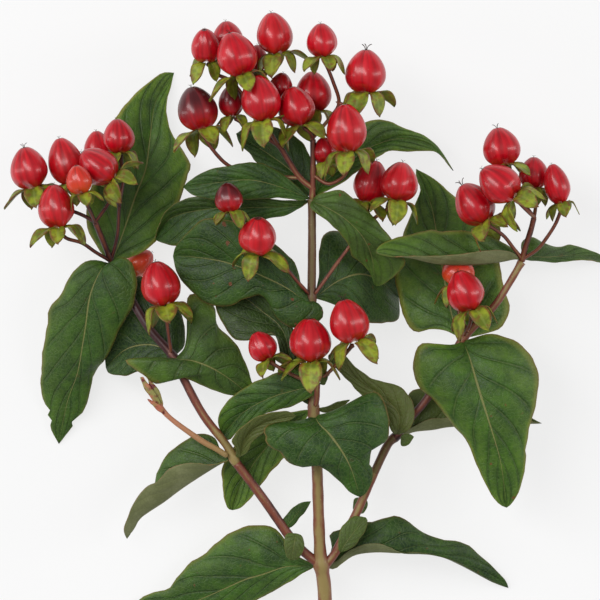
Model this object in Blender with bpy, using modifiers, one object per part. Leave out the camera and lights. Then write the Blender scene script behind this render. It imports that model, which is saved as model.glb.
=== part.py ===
"""Hypericum berry stem: a cut, branching stem with opposite leaves and red berries, lying down.

The stem runs along +Y, its cut end at -Y, and the spray lies on the plane z = 0, seen from +Z.
Places in the tables are drawing points (across, down, height): across and down count thirds of
a millimetre on a plan of the spray seen from above, and height is in millimetres above z = 0.
"""

import math

import bmesh
import bpy
from mathutils import Matrix, Vector

# Driving dimensions in millimetres
UNIT = 1.0 / 3.0  # one drawing unit
LEAF_THICKNESS = 0.5
SEAT_GAP = 0.4  # clearance between a leaf and the stem that carries it
BERRY_GAP = 0.5  # clearance between a berry and its pedicel
PEDICEL = 0.75  # pedicel radius
PEDUNCLE = 0.95  # radius of the stalks that carry several pedicels
BRANCH = 1.42  # radius of the upper left branch
JOIN_DEPTH = 0.8  # how far a pedicel runs into a berry that is one solid with it

# A berry's width at its base and how much of it goes by the tip, and how low its sepals start, in berry sizes
BERRY_BASE = 1.06
BERRY_NARROWING = 0.22
SEPAL_FOOT = -0.32

# A sepal's steps out of its berry, in berry widths: reach, drop, half width, half thickness
SEPAL_STEPS = ((0.10, -0.10, 0.15, 0.028), (0.20, -0.33, 0.05, 0.018))

# The drawing point above the origin
ORIGIN_ACROSS = 312.9
ORIGIN_DOWN = 397.3

# Mesh fineness
LEAF_STATIONS = 9
STEM_SIDES_LEVEL = 2
STALK_SIDES_LEVEL = 1
BERRY_SIDES = 10
BERRY_RINGS = 6

MM = 0.001

COLOURS = {
    "stem": ((0.26, 0.13, 0.07), 0.55),
    "stalk": ((0.16, 0.03, 0.03), 0.5),
    "leaf": ((0.035, 0.10, 0.025), 0.45),
    "leaf_pale": ((0.13, 0.17, 0.05), 0.55),
    "berry": ((0.55, 0.01, 0.02), 0.2),
}

# Leaf nodes of the stem and branches: across, down, height, stem radius there
NODES = {
    "main_low": (321.5, 566, 20.0, 2.3),
    "main_mid": (313.5, 408, 32.3, 1.65),
    "main_mid_front": (314.0, 414, 31.9, 1.65),
    "main_high": (311.5, 299, 36.0, 1.45),
    "main_top": (312.0, 199, 38.0, 1.3),
    "left_low": (233.0, 459, 26.0, 1.5),
    "left_mid": (174.0, 358, 26.0, 1.45),
    "left_top": (110.5, 263, 20.0, 1.35),
    "right_low": (396.0, 437, 24.0, 1.4),
    "right_mid": (463.0, 340, 26.0, 1.3),
    "right_top": (522.0, 260, 24.5, 1.2),
    "fork_low": (317.0, 381, 39.4, 0.95),
}

# Routes of the woody stems: across, down, height, radius
STEMS = {
    "main_stem": [
        (327, 780, 2.52, 2.6), (325, 690, 10.0, 2.5), (325, 600, 17.0, 2.35), (321.5, 566, 20.0, 2.3),
        (319.5, 540, 22.0, 1.95), (317, 466, 28.0, 1.85), (313.5, 408, 32.3, 1.65),
        (311, 350, 34.5, 1.5), (311.5, 299, 36.0, 1.45), (312, 250, 37.2, 1.4), (312, 199, 38.0, 1.3),
    ],
    "branch_left_low": [
        (311, 558.5, 20.4, 1.6), (300, 549, 20.8, 1.6), (288, 535, 21.2, 1.6),
        (263, 499, 23.5, 1.55), (236, 463, 25.8, 1.5),
    ],
    "branch_right_low": [
        (333, 557, 20.2, 1.45), (340, 545, 20.8, 1.5), (356, 515, 21.6, 1.5), (375, 472, 22.8, 1.45),
        (388, 445, 23.6, 1.4), (395.5, 437.5, 23.9, 1.4),
    ],
    "branch_right_high": [
        (396.6, 436.3, 24.0, 1.4), (412, 417, 24.6, 1.35), (430, 395, 25.2, 1.35), (462, 341, 26.0, 1.3),
        (493, 308, 25.6, 1.25), (508, 286, 25.2, 1.2), (522, 262, 24.6, 1.2),
    ],
    "side_shoot": [
        (224.5, 454.5, 27.9, 1.1), (216, 449, 28.6, 1.15), (200, 440, 29.2, 1.15),
        (171, 419, 29.8, 1.0), (158, 404, 30.2, 1.2), (141, 377, 30.6, 0.7),
    ],
}

# Leaves: the node that carries the leaf, the midrib with heights, and each margin with its lift above it
LEAVES = {
    "leaf_left_top_upper": (
        "left_top", "leaf",
        [(116, 250, 18), (125, 225, 16), (135, 195, 13.5), (145, 168, 11), (149, 138, 8), (155, 100, 4),
         (173, 71, 0.25)],
        [(100, 252, 0), (86, 225, 0), (88, 195, 0), (98, 165, 0), (105, 140, 0), (117, 114, 0),
         (130, 97, 0), (150, 79, 0), (162, 71, 0)],
        [(130, 257, 0), (145, 250, 1), (160, 235, 1), (167, 218, 1), (180, 198, 1), (185, 180, 1),
         (190, 165, 1), (180, 147, 1), (170, 130, 1), (166, 115, 1), (166, 100, 1), (170, 84, 0)],
    ),
    "leaf_left_top_lower": (
        "left_top", "leaf",
        [(102, 268, 24.5), (93, 285, 24), (88, 302, 22.5), (85, 325, 19.5), (81, 350, 15.5), (76, 375, 10.5),
         (66, 402, 5), (57, 445, 0.25)],
        [(90, 260, -1), (74, 270, -2), (65, 285, -3), (58, 298, -3), (49, 308, -3), (46, 325, -3),
         (42, 345, -3), (40, 368, -2.5), (39, 385, -2), (42, 402, -1), (47, 425, 0)],
        [(120, 257, 1.5), (131, 262, 1.5), (136, 278, 3.5), (136, 292, 5), (131, 310, 5.5), (120, 327, 5),
         (112, 345, 4), (104, 360, 3), (94, 371, 2), (89, 390, 1.5), (84, 408, 1), (70, 428, 0)],
    ),
    "leaf_left_mid_right": (
        "left_mid", "leaf",
        [(180, 360, 29.4), (195, 362, 30), (215, 370, 29), (236, 384, 27), (250, 397, 25)],
        [(186, 345, -3), (187, 320, -4), (188, 297, -4), (200, 296, -3), (214, 307, -2), (217, 325, -1),
         (235, 343, 0), (246, 365, 0), (253, 383, 0)],
        [(160, 358, 0.5), (140, 358, 0.5), (125, 361, 0.5), (137, 371, 0.5), (147, 379, 0.5), (157, 384, 0.5),
         (168, 379, 0), (180, 376, 0), (192, 381, 0), (213, 390, 0), (230, 395, 0)],
    ),
    "leaf_left_mid_left": (
        "left_mid", "leaf",
        [(165, 350, 21.5), (148, 345, 19), (125, 350, 15), (105, 368, 10)],
        [(184, 345, -4), (182, 318, -3), (168, 296, -1.5), (150, 283, 0), (138, 276, 0), (125, 288, 0),
         (112, 312, 0), (104, 345, 0)],
        [(160, 367, 0), (138, 372, 0), (120, 376, 0), (109, 374, 0)],
    ),
    "leaf_left_low_left": (
        "left_low", "leaf_pale",
        [(219, 465, 25), (186, 486, 21), (163, 503, 18), (141, 518, 15), (133, 530, 13), (126, 540, 11)],
        [(211, 465, 3), (190, 463, 5), (171, 468, 5.5), (157, 482, 5), (144, 489, 4), (133, 505, 3),
         (126, 520, 2), (123, 532, 1)],
        [(221, 452, -1.5), (215, 439, -2), (204, 434, -1), (190, 438, 0), (176, 447, 0), (164, 459, 0),
         (157, 473, 0), (154, 486, 0), (147, 500, 0), (137, 518, 0), (129, 533, 0)],
    ),
    "leaf_left_low_right": (
        "left_low", "leaf_pale",
        [(240.5, 456, 27.5), (243.5, 442, 29), (254, 428.5, 31), (270, 421, 32.5), (296, 416, 33.5)],
        [(236, 449, 2), (232, 440, 2.5), (241, 428, 3), (255, 418, 3), (270, 413, 2.5), (286, 411, 1.5)],
        [(247, 453, 0), (253, 441, 0), (266, 431, 0), (284, 424, 0)],
    ),
    "leaf_main_mid_olive": (
        "main_mid", "leaf_pale",
        [(303, 416, 29), (283, 430, 22), (258, 458, 18.5), (241, 485, 16), (232, 511, 14)],
        [(288, 413, 0), (262, 421, 0), (240, 440, 0), (227, 456, 0), (222, 470, 0), (222, 485, 0),
         (224, 500, 0), (227, 509, 0)],
        [(300, 430, 0), (291, 450, 0), (284, 459, 0), (274, 468, 0), (266, 479, 0), (256, 492, 0),
         (247, 503, 0), (240, 509, 0)],
    ),
    "leaf_main_mid_upper": (
        "fork_low", "leaf",
        [(310, 387, 37.2), (296, 390, 36), (270, 398, 32), (243, 413, 27), (222, 437, 22)],
        [(330, 374, 1), (312, 367, 2), (290, 368, 1.5), (270, 376, 0), (250, 384, 0), (233, 396, 0),
         (221, 410, 0), (218, 422, 0)],
        [(318, 392, 0), (305, 400, 0), (290, 407, 0), (270, 412, 0), (255, 420, 0), (240, 430, 0),
         (229, 440, 0)],
    ),
    "leaf_main_mid_front": (
        "main_mid_front", "leaf",
        [(319, 424, 36.0), (330, 435, 37.5), (343, 453, 38), (352, 471, 37), (360, 497, 34)],
        [(300, 421, 0), (282, 422, -1), (265, 427, -1.5), (266, 442, -2), (280, 453, -2), (290, 463, -2),
         (302, 467, -2), (312, 463, -1.5), (325, 469, -1), (338, 480, -1), (350, 492, 0)],
        [(330, 412, 0), (345, 405, -0.5), (362, 396, -1), (376, 391, -1.5), (384, 402, -2), (389, 420, -2.5),
         (387, 440, -3), (374, 445, -2), (370, 458, -1.5), (373, 470, -1), (371, 484, -0.5), (366, 493, 0)],
    ),
    "leaf_main_mid_right": (
        "main_mid", "leaf_pale",
        [(321, 410.5, 31.2), (335, 406, 30.5), (350, 400, 29.8)],
        [(326, 406.5, 0), (338, 402, 0)],
        [(326, 413, 0), (340, 408, 0)],
    ),
    "leaf_right_low_left": (
        "right_low", "leaf_pale",
        [(399, 428, 28), (398, 412, 29), (380, 395, 30), (358, 380, 31), (332, 352, 32)],
        [(409, 430, 1.5), (415, 415, 0.5), (411, 400, 0), (399, 386, 0), (385, 382, 0), (370, 378, 0),
         (355, 366, 0), (342, 352, 0)],
        [(391, 430, 0), (386, 415, 0), (378, 408, 0), (364, 398, 0), (350, 383, 0), (338, 370, 0),
         (328, 358, 0)],
    ),
    "leaf_right_low_right": (
        "right_low", "leaf",
        [(404, 436, 22), (415, 432, 21), (434, 430, 20), (453, 427, 19), (500, 425, 15), (543, 424, 12)],
        [(415, 426, 1.8), (428, 420, 3), (446, 418, 3.5), (480, 418, 3), (520, 420, 1.5)],
        [(403, 420, -1), (409, 395, -1), (425, 388, 0), (460, 385, 0), (500, 400, 0), (530, 417, 0)],
    ),
    "leaf_right_mid_lower": (
        "right_mid", "leaf",
        [(466, 348, 29), (471, 362, 32), (479, 390, 34.5), (491, 428, 34), (501, 463, 31), (507, 508, 25)],
        [(452, 345, 0), (435, 344, -1), (422, 344, -2), (415, 355, -3), (414, 371, -4), (420, 388, -4),
         (432, 398, -4), (445, 414, -3), (456, 428, -3), (468, 442, -2), (477, 465, -1), (487, 487, 0),
         (498, 503, 0)],
        [(478, 337, 0), (490, 334, -1), (505, 337, -2), (522, 346, -3), (534, 360, -4), (539, 380, -4),
         (536, 405, -4), (530, 425, -3), (527, 445, -2), (525, 470, -1), (520, 490, 0), (513, 503, 0)],
    ),
    "leaf_right_mid_upper": (
        "right_mid", "leaf",
        [(457, 332, 23), (452, 315, 21.5), (445, 280, 18), (439, 245, 13), (432, 205, 7), (417, 168, 0.25)],
        [(447, 331, 0), (432, 329, 0), (417, 332, 0), (406, 320, 0), (400, 301, 0), (396, 278, 0),
         (399, 255, 0), (404, 234, 0), (413, 211, 0), (421, 190, 0), (417, 177, 0)],
        [(489, 333, 0), (503, 326, 0), (510, 307, 0), (504, 286, 0), (500, 263, 0), (492, 240, 0),
         (478, 220, 0), (465, 205, 0), (453, 194, 0), (436, 179, 0)],
    ),
    "leaf_right_top_left": (
        "right_top", "leaf",
        [(515, 259, 26.3), (500, 262, 27), (472, 265, 30), (438, 264, 34), (410, 258, 37.5), (390, 256, 39.3),
         (376, 253, 40)],
        [(512, 252, 2), (491, 250, 4), (460, 254, 5), (430, 256, 4), (407, 256, 2), (390, 257, 0.5)],
        [(512, 248, -1.5), (500, 241, 0), (485, 234, 1), (463, 231, 2), (445, 232, 2), (430, 230, 2),
         (412, 234, 1), (402, 237, 0.5), (390, 240, 0), (382, 244, 0), (377, 249, 0)],
    ),
    "leaf_right_top_right": (
        "right_top", "leaf",
        [(532, 257, 22.5), (550, 257, 19), (575, 255, 12), (596, 257, 5.5), (613, 260, 0.25)],
        [(522, 243, -2), (532, 237, -1), (545, 243, 0), (558, 247, 0), (572, 245, 0), (588, 249, 0),
         (601, 254, 0)],
        [(540, 261, 0), (560, 262, 0), (587, 260, 0), (602, 262, 0)],
    ),
    "leaf_main_top_back_right": (
        "main_top", "leaf",
        [(322, 185, 34), (345, 165, 28), (375, 145, 23), (405, 138, 20), (432, 146, 16), (454, 170, 11)],
        [(318, 160, 0), (335, 140, 0), (352, 128, 0), (368, 121, 0), (380, 119, 0), (392, 122, 0),
         (405, 128, 0), (420, 133, 0), (432, 140, 0), (442, 151, 0)],
        [(340, 184, 0), (356, 172, 0), (368, 163, 0), (380, 155, 0), (392, 150, 0), (405, 151, 0),
         (420, 150, 0), (433, 150, 0), (443, 156, 0)],
    ),
    "leaf_main_top_back_left": (
        "main_top", "leaf",
        [(303, 185, 34.5), (290, 170, 31), (270, 155, 27), (250, 142, 22), (236, 133, 17)],
        [(313, 165, 0), (300, 140, 0), (280, 128, 0), (258, 126, 0), (243, 129, 0)],
        [(290, 187, 0), (275, 177, 0), (262, 167, 0), (249, 153, 0), (239, 142, 0)],
    ),
    "leaf_main_top_right": (
        "main_top", "leaf",
        [(315, 203, 40.6), (327, 208, 41.2), (345, 219, 41), (362, 236, 38), (372, 258, 33), (375, 286, 28)],
        [(318, 195, 0), (328, 192, 0), (339, 190, 0), (350, 196, 0), (362, 206, 0), (375, 219, 0),
         (388, 235, 0), (399, 249, 0), (405, 263, 0), (396, 275, 0), (384, 284, 0)],
        [(310, 208, 0), (320, 216, 0), (331, 225, 0), (341, 234, 0), (348, 245, 0), (353, 256, 0),
         (364, 265, 0), (371, 275, 0)],
    ),
    "leaf_main_top_left": (
        "main_top", "leaf",
        [(300, 195, 40.4), (280, 187, 41), (250, 180, 41), (215, 183, 39), (183, 187, 36)],
        [(296, 186, 0), (280, 173, 0), (262, 164, 0), (245, 163, 0), (228, 166, 0), (210, 170, 0),
         (195, 177, 0)],
        [(300, 201, 0), (285, 198, 0), (265, 199, 0), (240, 200, 0), (215, 200, 0), (195, 196, 0)],
    ),
    "leaf_main_top_low_left": (
        "main_top", "leaf",
        [(300, 206, 36), (270, 207, 33.5), (235, 208, 30), (205, 209, 27), (170, 218, 23), (155, 239, 19)],
        [(280, 200, 0), (250, 196, 0), (215, 195, 0), (190, 197, 0), (168, 208, 0), (158, 226, 0)],
        [(290, 214, 0), (262, 220, -1), (228, 226, -2), (200, 236, -2), (177, 245, -1), (162, 243, 0)],
    ),
    "leaf_main_high_left": (
        "main_high", "leaf",
        [(306, 302, 38.4), (285, 287, 38), (255, 273, 37), (225, 262, 34.5), (195, 257, 31.5),
         (173, 256, 28.5)],
        [(301, 285, -1), (294, 262, -1), (268, 240, -1), (237, 223, 0), (213, 218, 0), (200, 221, 0),
         (190, 230, 0), (183, 237, 0), (176, 246, 0)],
        [(321, 306, 0), (322, 319, 0), (306, 327, 0), (290, 327, 0), (277, 318, 0), (269, 303, 0),
         (260, 295, 0), (245, 299, 0), (228, 306, 0), (207, 304, 0), (191, 291, 0), (178, 275, 0)],
    ),
    "leaf_main_high_low_left": (
        "main_mid", "leaf_pale",
        [(298, 396, 33), (291, 372, 33), (287, 342, 32.5), (279, 325, 31), (262, 311, 29), (245, 298, 27.5),
         (226, 288, 26)],
        [(290, 390, 0), (281, 358, 0), (275, 334, 0), (262, 336, 0), (245, 341, 0), (233, 338, 0),
         (224, 325, 0), (217, 310, 0), (215, 296, 0)],
        [(302, 374, 0), (298, 345, 0), (291, 324, 0), (281, 306, 0), (266, 290, 0), (249, 282, 0),
         (234, 281, 0)],
    ),
    "leaf_main_high_right": (
        "main_high", "leaf",
        [(321, 293, 34.2), (338, 281, 31), (360, 274, 26), (380, 281, 17), (399, 298, 10)],
        [(319, 275, 0), (319, 252, 0), (325, 234, 0), (340, 231, 0), (362, 243, 0), (384, 258, 0),
         (397, 275, 0)],
        [(327, 302, 0), (345, 309, 0), (366, 322, 0), (384, 323, 0), (399, 319, 0)],
    ),
    "leaf_main_low_left": (
        "main_low", "leaf",
        [(302, 567, 17), (285, 568, 16), (262, 576, 14), (245, 581, 12), (225, 590, 9.5), (205, 599, 7),
         (165, 616, 3), (132, 628, 0.25)],
        [(297, 557, 0), (288, 545, 0), (276, 530, 0), (262, 526, 0), (245, 528, 0), (230, 534, 0),
         (217, 544, 0), (205, 555, 0), (190, 564, 0), (178, 577, 0), (168, 590, 0), (152, 594, 0),
         (138, 602, 0), (130, 614, 0)],
        [(302, 575, 0), (291, 582, 0), (281, 588, 0), (272, 593, 0), (258, 601, 0), (240, 609, 0),
         (215, 619, 0), (185, 628, 0), (155, 633, 0)],
    ),
    "leaf_main_low_right": (
        "main_low", "leaf",
        [(334, 570, 17.4), (341, 565, 17.6), (355, 556, 18.4), (376, 553, 19.4), (400, 554, 18.5),
         (422, 554, 17), (449, 560, 13.5), (468, 569, 9.5), (490, 581, 5), (510, 590, 0.25)],
        [(337, 562, 0), (350, 551, 1.5), (366, 545, 2.5), (378, 544, 2.5), (392, 549, 2), (402, 554, 1),
         (420, 555, 0.5), (435, 556, 0.5), (450, 561, 0), (470, 571, 0), (492, 583, 0)],
        [(332, 548, -2), (330, 535, -3), (342, 530, -3), (360, 524, -3), (374, 522, -2), (386, 519, -1),
         (396, 517, -1), (406, 521, 0), (418, 530, 0), (430, 537, 0), (445, 541, 0), (460, 543, 0),
         (470, 548, 0), (481, 557, 0), (495, 570, 0), (506, 581, 0)],
    ),
}

# Berries that are nodes of their own: centre (across, down, height), width, length, lean to +X and
# tilt up towards +Z in degrees
BERRIES = {
    "berry_left_1": (29, 168, 33.0, 12.6, 14.6, -14, 5),
    "berry_left_2": (65, 161, 29.5, 11.8, 16.2, -15, 0),
    "berry_left_3": (118, 136, 30.0, 10.6, 11.8, -5, 5),
    "berry_left_4": (98, 166, 38.5, 12.0, 14.4, -50, 5),
    "berry_left_5": (56.5, 206.5, 40.5, 12.2, 15.0, -8, 5),
    "berry_top_1": (206, 46, 44.0, 9.8, 12.4, -5, 30),
    "berry_top_2": (236, 55, 50.5, 13.4, 15.2, -17, 5),
    "berry_top_3": (274, 34, 42.0, 12.0, 14.4, -8, 5),
    "berry_top_4": (322, 41, 46.0, 10.3, 11.6, -5, 5),
    "berry_top_5": (366, 72, 44.0, 13.6, 15.0, 0, 5),
    "berry_top_6": (197, 109, 42.0, 13.4, 15.4, -15, 0),
    "berry_top_7": (260, 99, 51.0, 13.2, 16.0, -10, 5),
    "berry_top_8": (296, 107, 46.0, 12.4, 13.8, -15, 5),
    "berry_top_9": (347, 129, 52.0, 13.4, 16.6, -5, 5),
    "berry_right_1": (501, 147, 35.5, 12.6, 13.4, -12, 0),
    "berry_right_2": (498, 184, 46.0, 13.0, 15.0, -48, 5),
    "berry_right_3": (474, 204, 36.5, 13.0, 15.4, -32, 0),
    "berry_right_4": (557, 184, 36.0, 8.6, 14.0, -15, 0),
    "berry_low_1": (262, 346, 43.0, 9.6, 10.4, -28, 5),
    "berry_low_3": (348, 321, 48.0, 13.2, 15.2, -14, 10),
}

# Small or hidden berries, each one solid with the stalks that carry it
JOINED_BERRIES = {
    "left_axil_front": (160, 284, 36.5, 13.2, 15.6, -12, 5),
    "right_axil_front": (465, 291, 38.0, 12.6, 14.4, -20, 5),
    "left_small": (79.5, 180, 46.5, 8.6, 10.0, -12, 10),
    "left_back": (97, 148, 22.0, 9.5, 12.0, -5, 0),
    "left_axil_back": (139, 262, 10.5, 8.6, 10.5, 50, 0),
    "top_dark": (231, 102, 40.0, 8.4, 10.4, -8, 0),
    "top_back": (228, 38, 36.0, 10.5, 11.5, -8, 0),
    "top_middle": (313, 92, 34.5, 12.2, 14.0, -3, 0),
    "top_hidden_left": (257, 58, 33.0, 7.0, 9.0, 0, 0),
    "top_hidden_middle": (281, 86, 38.0, 8.0, 9.0, 10, 0),
    "top_hidden_right": (325, 150, 40.0, 8.0, 8.6, -10, 0),
    "right_dark": (534, 173, 29.5, 10.0, 11.0, 0, 0),
    "right_axil_back": (458, 271, 26.0, 11.0, 11.0, 0, 0),
    "low_front": (310, 340, 46.0, 14.0, 15.0, -3, 10),
    "mid_front": (258, 236, 50.0, 12.6, 13.2, 0, 25),
    "mid_small": (229, 198, 50.0, 9.4, 10.2, -8, 0),
    "mid_dark": (371, 182, 33.5, 11.6, 15.0, 15, 0),
    "mid_dark_right": (399, 182, 41.0, 12.6, 13.6, 10, 0),
}

# Stalks: routes with their radius, each ending at a drawing point or at a berry, and the berries joined
STALKS = {
    "stalks_left": ([
        (PEDUNCLE, [(110.3, 261, 20.3), (103, 242, 25), (95, 222, 29.5)]),
        (PEDICEL, [(95, 222, 30), (80, 214, 30), (60, 207, 29), (42, 200, 31), "berry_left_1"]),
        (PEDICEL, [(95, 222, 30), (86, 203, 33), (76, 192, 30.5), "berry_left_2"]),
        (PEDICEL, [(95, 222, 30), (89, 209, 36.5), "left_small"]),
        (PEDICEL, [(95, 222, 30), (108, 204, 33), (115, 190, 35.5), "berry_left_4"]),
        (PEDICEL, [(110.3, 261, 20.3), (95, 252, 26), (82, 243, 32), (66, 238, 38.5), "berry_left_5"]),
        (PEDICEL, [(110.3, 261, 20.3), (117, 235, 25), (119, 205, 27.5), (123, 178, 27), "berry_left_3"]),
        (PEDICEL, [(119, 205, 27.5), (110, 190, 24.5), (101, 175, 22), "left_back"]),
    ], ["left_small", "left_back"]),
    "stalks_top": ([
        (PEDUNCLE, [(312.3, 197, 38.1), (313, 175, 39.5), (313, 150, 41), (313, 138, 42)]),
        (PEDICEL, [(313, 138, 42), (309, 132, 45), "berry_top_8"]),
        (PEDICEL, [(313, 138, 42), (316, 124, 36.5), "top_middle"]),
        (PEDICEL, [(313, 138, 42), (330, 118, 39), (339, 103, 40), (333, 82, 43), "berry_top_4"]),
        (PEDICEL, [(339, 103, 40), (355, 108, 41), "berry_top_5"]),
        (PEDICEL, [(313, 175, 39.5), (328, 184, 41), (342, 178, 44), (348, 168, 47.5), "berry_top_9"]),
        (PEDICEL, [(313, 150, 41), (322, 168, 39), "top_hidden_right"]),
        (PEDUNCLE, [(312.6, 188, 38.6), (300, 178, 38.6), (288, 160, 39.5), (278, 145, 41),
                    (262, 136, 41.5)]),
        (PEDICEL, [(278, 145, 41), (270, 132, 46), "berry_top_7"]),
        (PEDICEL, [(262, 136, 41.5), (245, 125, 41), "top_dark"]),
        (PEDICEL, [(262, 136, 41.5), (250, 105, 40.5), (247, 88, 44), "berry_top_2"]),
        (PEDICEL, [(250, 105, 40.5), (232, 82, 38), (216, 74, 38), "berry_top_1"]),
        (PEDICEL, [(232, 82, 38), (232, 68, 36.5), "top_back"]),
        (PEDICEL, [(262, 136, 41.5), (273, 110, 39), (281, 102, 38), "top_hidden_middle"]),
        (PEDICEL, [(250, 105, 40.5), (257, 80, 35.5), "top_hidden_left"]),
        (PEDICEL, [(257, 80, 35.5), (268, 72, 38), (276, 64, 41), "berry_top_3"]),
        (PEDICEL, [(300, 178, 38.6), (270, 176, 36.5), (240, 170, 35.5), (225, 163, 37), (210, 146, 40.5),
                   "berry_top_6"]),
    ], ["top_middle", "top_dark", "top_back", "top_hidden_left", "top_hidden_middle", "top_hidden_right"]),
    "stalks_right": ([
        (PEDUNCLE, [(522.7, 259, 24.8), (526, 246, 28), (531, 230, 33), (534, 217, 37)]),
        (PEDICEL, [(534, 217, 37), (536, 203, 32.5), "right_dark"]),
        (PEDICEL, [(534, 217, 37), (528, 212, 41.5), "berry_right_2"]),
        (PEDICEL, [(534, 217, 37), (521, 200, 33.5), (508, 180, 33.5), "berry_right_1"]),
        (PEDICEL, [(522.7, 259, 24.8), (537, 250, 28), (546, 239, 31), (556, 223, 34), "berry_right_4"]),
        (PEDICEL, [(522.7, 259, 24.8), (513, 247, 28.5), (503, 235, 32), "berry_right_3"]),
    ], ["right_dark"]),
    "stalks_low": ([
        (PEDUNCLE, [(316, 404, 35.6), (317, 395, 37.5), (317, 381, 40)]),
        (PEDICEL, [(317, 381, 40), (315, 370, 42.5), "low_front"]),
        (PEDICEL, [(317, 381, 40), (300, 378, 41), (284, 370, 42), (272, 363, 42.5), "berry_low_1"]),
        (PEDICEL, [(317, 381, 40), (328, 373, 42), (342, 358, 45), "berry_low_3"]),
    ], ["low_front"]),
    "stalks_mid_left": ([
        (PEDICEL, [(307, 292, 38), (297, 281, 41), (284, 266, 44), (268, 252, 46), "mid_front"]),
        (PEDICEL, [(284, 266, 44), (262, 240, 41), (243, 224, 44), (235, 216, 48), "mid_small"]),
    ], ["mid_front", "mid_small"]),
    "stalks_mid_right": ([
        (PEDICEL, [(317, 291, 37.3), (330, 273, 36.5), (347, 250, 35), (370, 222, 34), (386, 210, 36),
                   "mid_dark_right"]),
        (PEDICEL, [(370, 222, 34), (368, 212, 33.5), "mid_dark"]),
    ], ["mid_dark", "mid_dark_right"]),
    "berry_left_axil": ([
        (PEDICEL, [(170.5, 350, 27.9), (168, 332, 31.5), "left_axil_front"]),
    ], ["left_axil_front"]),
    "branch_left_high": ([
        (BRANCH, [(234.8, 461.4, 25.9), (226, 445, 26.2), (203, 415, 26.4), (184, 380, 26.2), (173, 357, 26),
                  (150, 330, 24.6), (133, 303, 22.4), (112, 265, 20.1)]),
        (PEDICEL, [(115, 271, 20.3), (120, 272, 15.5), "left_axil_back"]),
    ], ["left_axil_back"]),
    "berries_right_axil": ([
        (PEDICEL, [(465, 334, 28.7), (470, 324, 32.5), "right_axil_front"]),
        (PEDICEL, [(467, 330, 30.2), (459, 312, 27), "right_axil_back"]),
    ], ["right_axil_front", "right_axil_back"]),
}


def point(across, down, height):
    """A drawing point as a place in metres."""
    return Vector((
        (across - ORIGIN_ACROSS) * UNIT * MM,
        (ORIGIN_DOWN - down) * UNIT * MM,
        height * MM,
    ))


def smooth_curve(points, count):
    """A smooth curve through the points, read at equal steps of its length."""
    fine = []
    for i in range(len(points) - 1):
        before = points[max(i - 1, 0)]
        start = points[i]
        end = points[i + 1]
        after = points[min(i + 2, len(points) - 1)]
        for step in range(8):
            t = step / 8
            fine.append(0.5 * (
                2 * start + (end - before) * t + (2 * before - 5 * start + 4 * end - after) * t * t
                + (3 * start - 3 * end + after - before) * t * t * t
            ))
    fine.append(points[-1].copy())
    lengths = [0.0]
    for a, b in zip(fine, fine[1:]):
        lengths.append(lengths[-1] + (b - a).length)
    result = []
    k = 0
    for i in range(count):
        target = lengths[-1] * i / (count - 1)
        while k < len(fine) - 2 and lengths[k + 1] < target:
            k += 1
        span = max(lengths[k + 1] - lengths[k], 1e-12)
        result.append(fine[k].lerp(fine[k + 1], min(max((target - lengths[k]) / span, 0.0), 1.0)))
    return result


def new_material(name):
    colour, roughness = COLOURS[name]
    material = bpy.data.materials.new(name)
    material.use_nodes = True
    shader = material.node_tree.nodes["Principled BSDF"]
    shader.inputs["Base Color"].default_value = (*colour, 1.0)
    shader.inputs["Roughness"].default_value = roughness
    shader.inputs["Metallic"].default_value = 0.0
    material.diffuse_color = (*colour, 1.0)
    return material


def new_object(name, data, material, collection):
    thing = bpy.data.objects.new(name, data)
    collection.objects.link(thing)
    if material:
        data.materials.append(material)
    return thing


def tube(name, route, sides_level, material, collection):
    """A tapering round stem along a smooth route of (across, down, height, radius) points."""
    centres = [point(*p[:3]) for p in route]
    radii = [Vector((p[3], 0, 0)) for p in route]
    count = max(3, len(route) + 2)
    curve = bpy.data.curves.new(name, "CURVE")
    curve.dimensions = "3D"
    curve.bevel_depth = MM
    curve.bevel_resolution = sides_level
    curve.use_fill_caps = True
    spline = curve.splines.new("POLY")
    spline.points.add(count - 1)
    places = smooth_curve(centres, count)
    widths = even_values(centres, radii, count)
    for spot, centre, radius in zip(spline.points, places, widths):
        spot.co = (*centre, 1.0)
        spot.radius = radius
    return new_object(name, curve, material, collection)


def even_values(centres, radii, count):
    """The radius at equal steps of the route's length."""
    lengths = [0.0]
    for a, b in zip(centres, centres[1:]):
        lengths.append(lengths[-1] + (b - a).length)
    values = []
    for i in range(count):
        target = lengths[-1] * i / (count - 1)
        k = max(j for j in range(len(lengths) - 1) if lengths[j] <= target + 1e-12)
        share = (target - lengths[k]) / (lengths[k + 1] - lengths[k])
        values.append(radii[k].lerp(radii[k + 1], min(share, 1.0)).x)
    return values


def mesh_copy(thing):
    """The evaluated shape of an object as a welded mesh object in its place."""
    depsgraph = bpy.context.evaluated_depsgraph_get()
    depsgraph.update()
    mesh = bpy.data.meshes.new_from_object(thing.evaluated_get(depsgraph))
    mesh.transform(thing.matrix_world)
    shape = bmesh.new()
    shape.from_mesh(mesh)
    bmesh.ops.remove_doubles(shape, verts=shape.verts, dist=1e-6)
    bmesh.ops.recalc_face_normals(shape, faces=shape.faces)
    shape.to_mesh(mesh)
    shape.free()
    collection = thing.users_collection[0]
    name = thing.name
    material = thing.active_material
    bpy.data.objects.remove(thing)
    mesh.materials.clear()
    return new_object(name, mesh, material, collection)


def join(name, pieces):
    """One solid out of several that run into each other."""
    bpy.context.view_layer.update()
    solids = [mesh_copy(piece) for piece in pieces]
    whole = solids[0]
    for other in solids[1:]:
        union = whole.modifiers.new("union", "BOOLEAN")
        union.operation = "UNION"
        union.solver = "EXACT"
        union.object = other
        bpy.context.view_layer.update()
        whole = mesh_copy(whole)
        bpy.data.objects.remove(other)
    whole.name = name
    return whole


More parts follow.
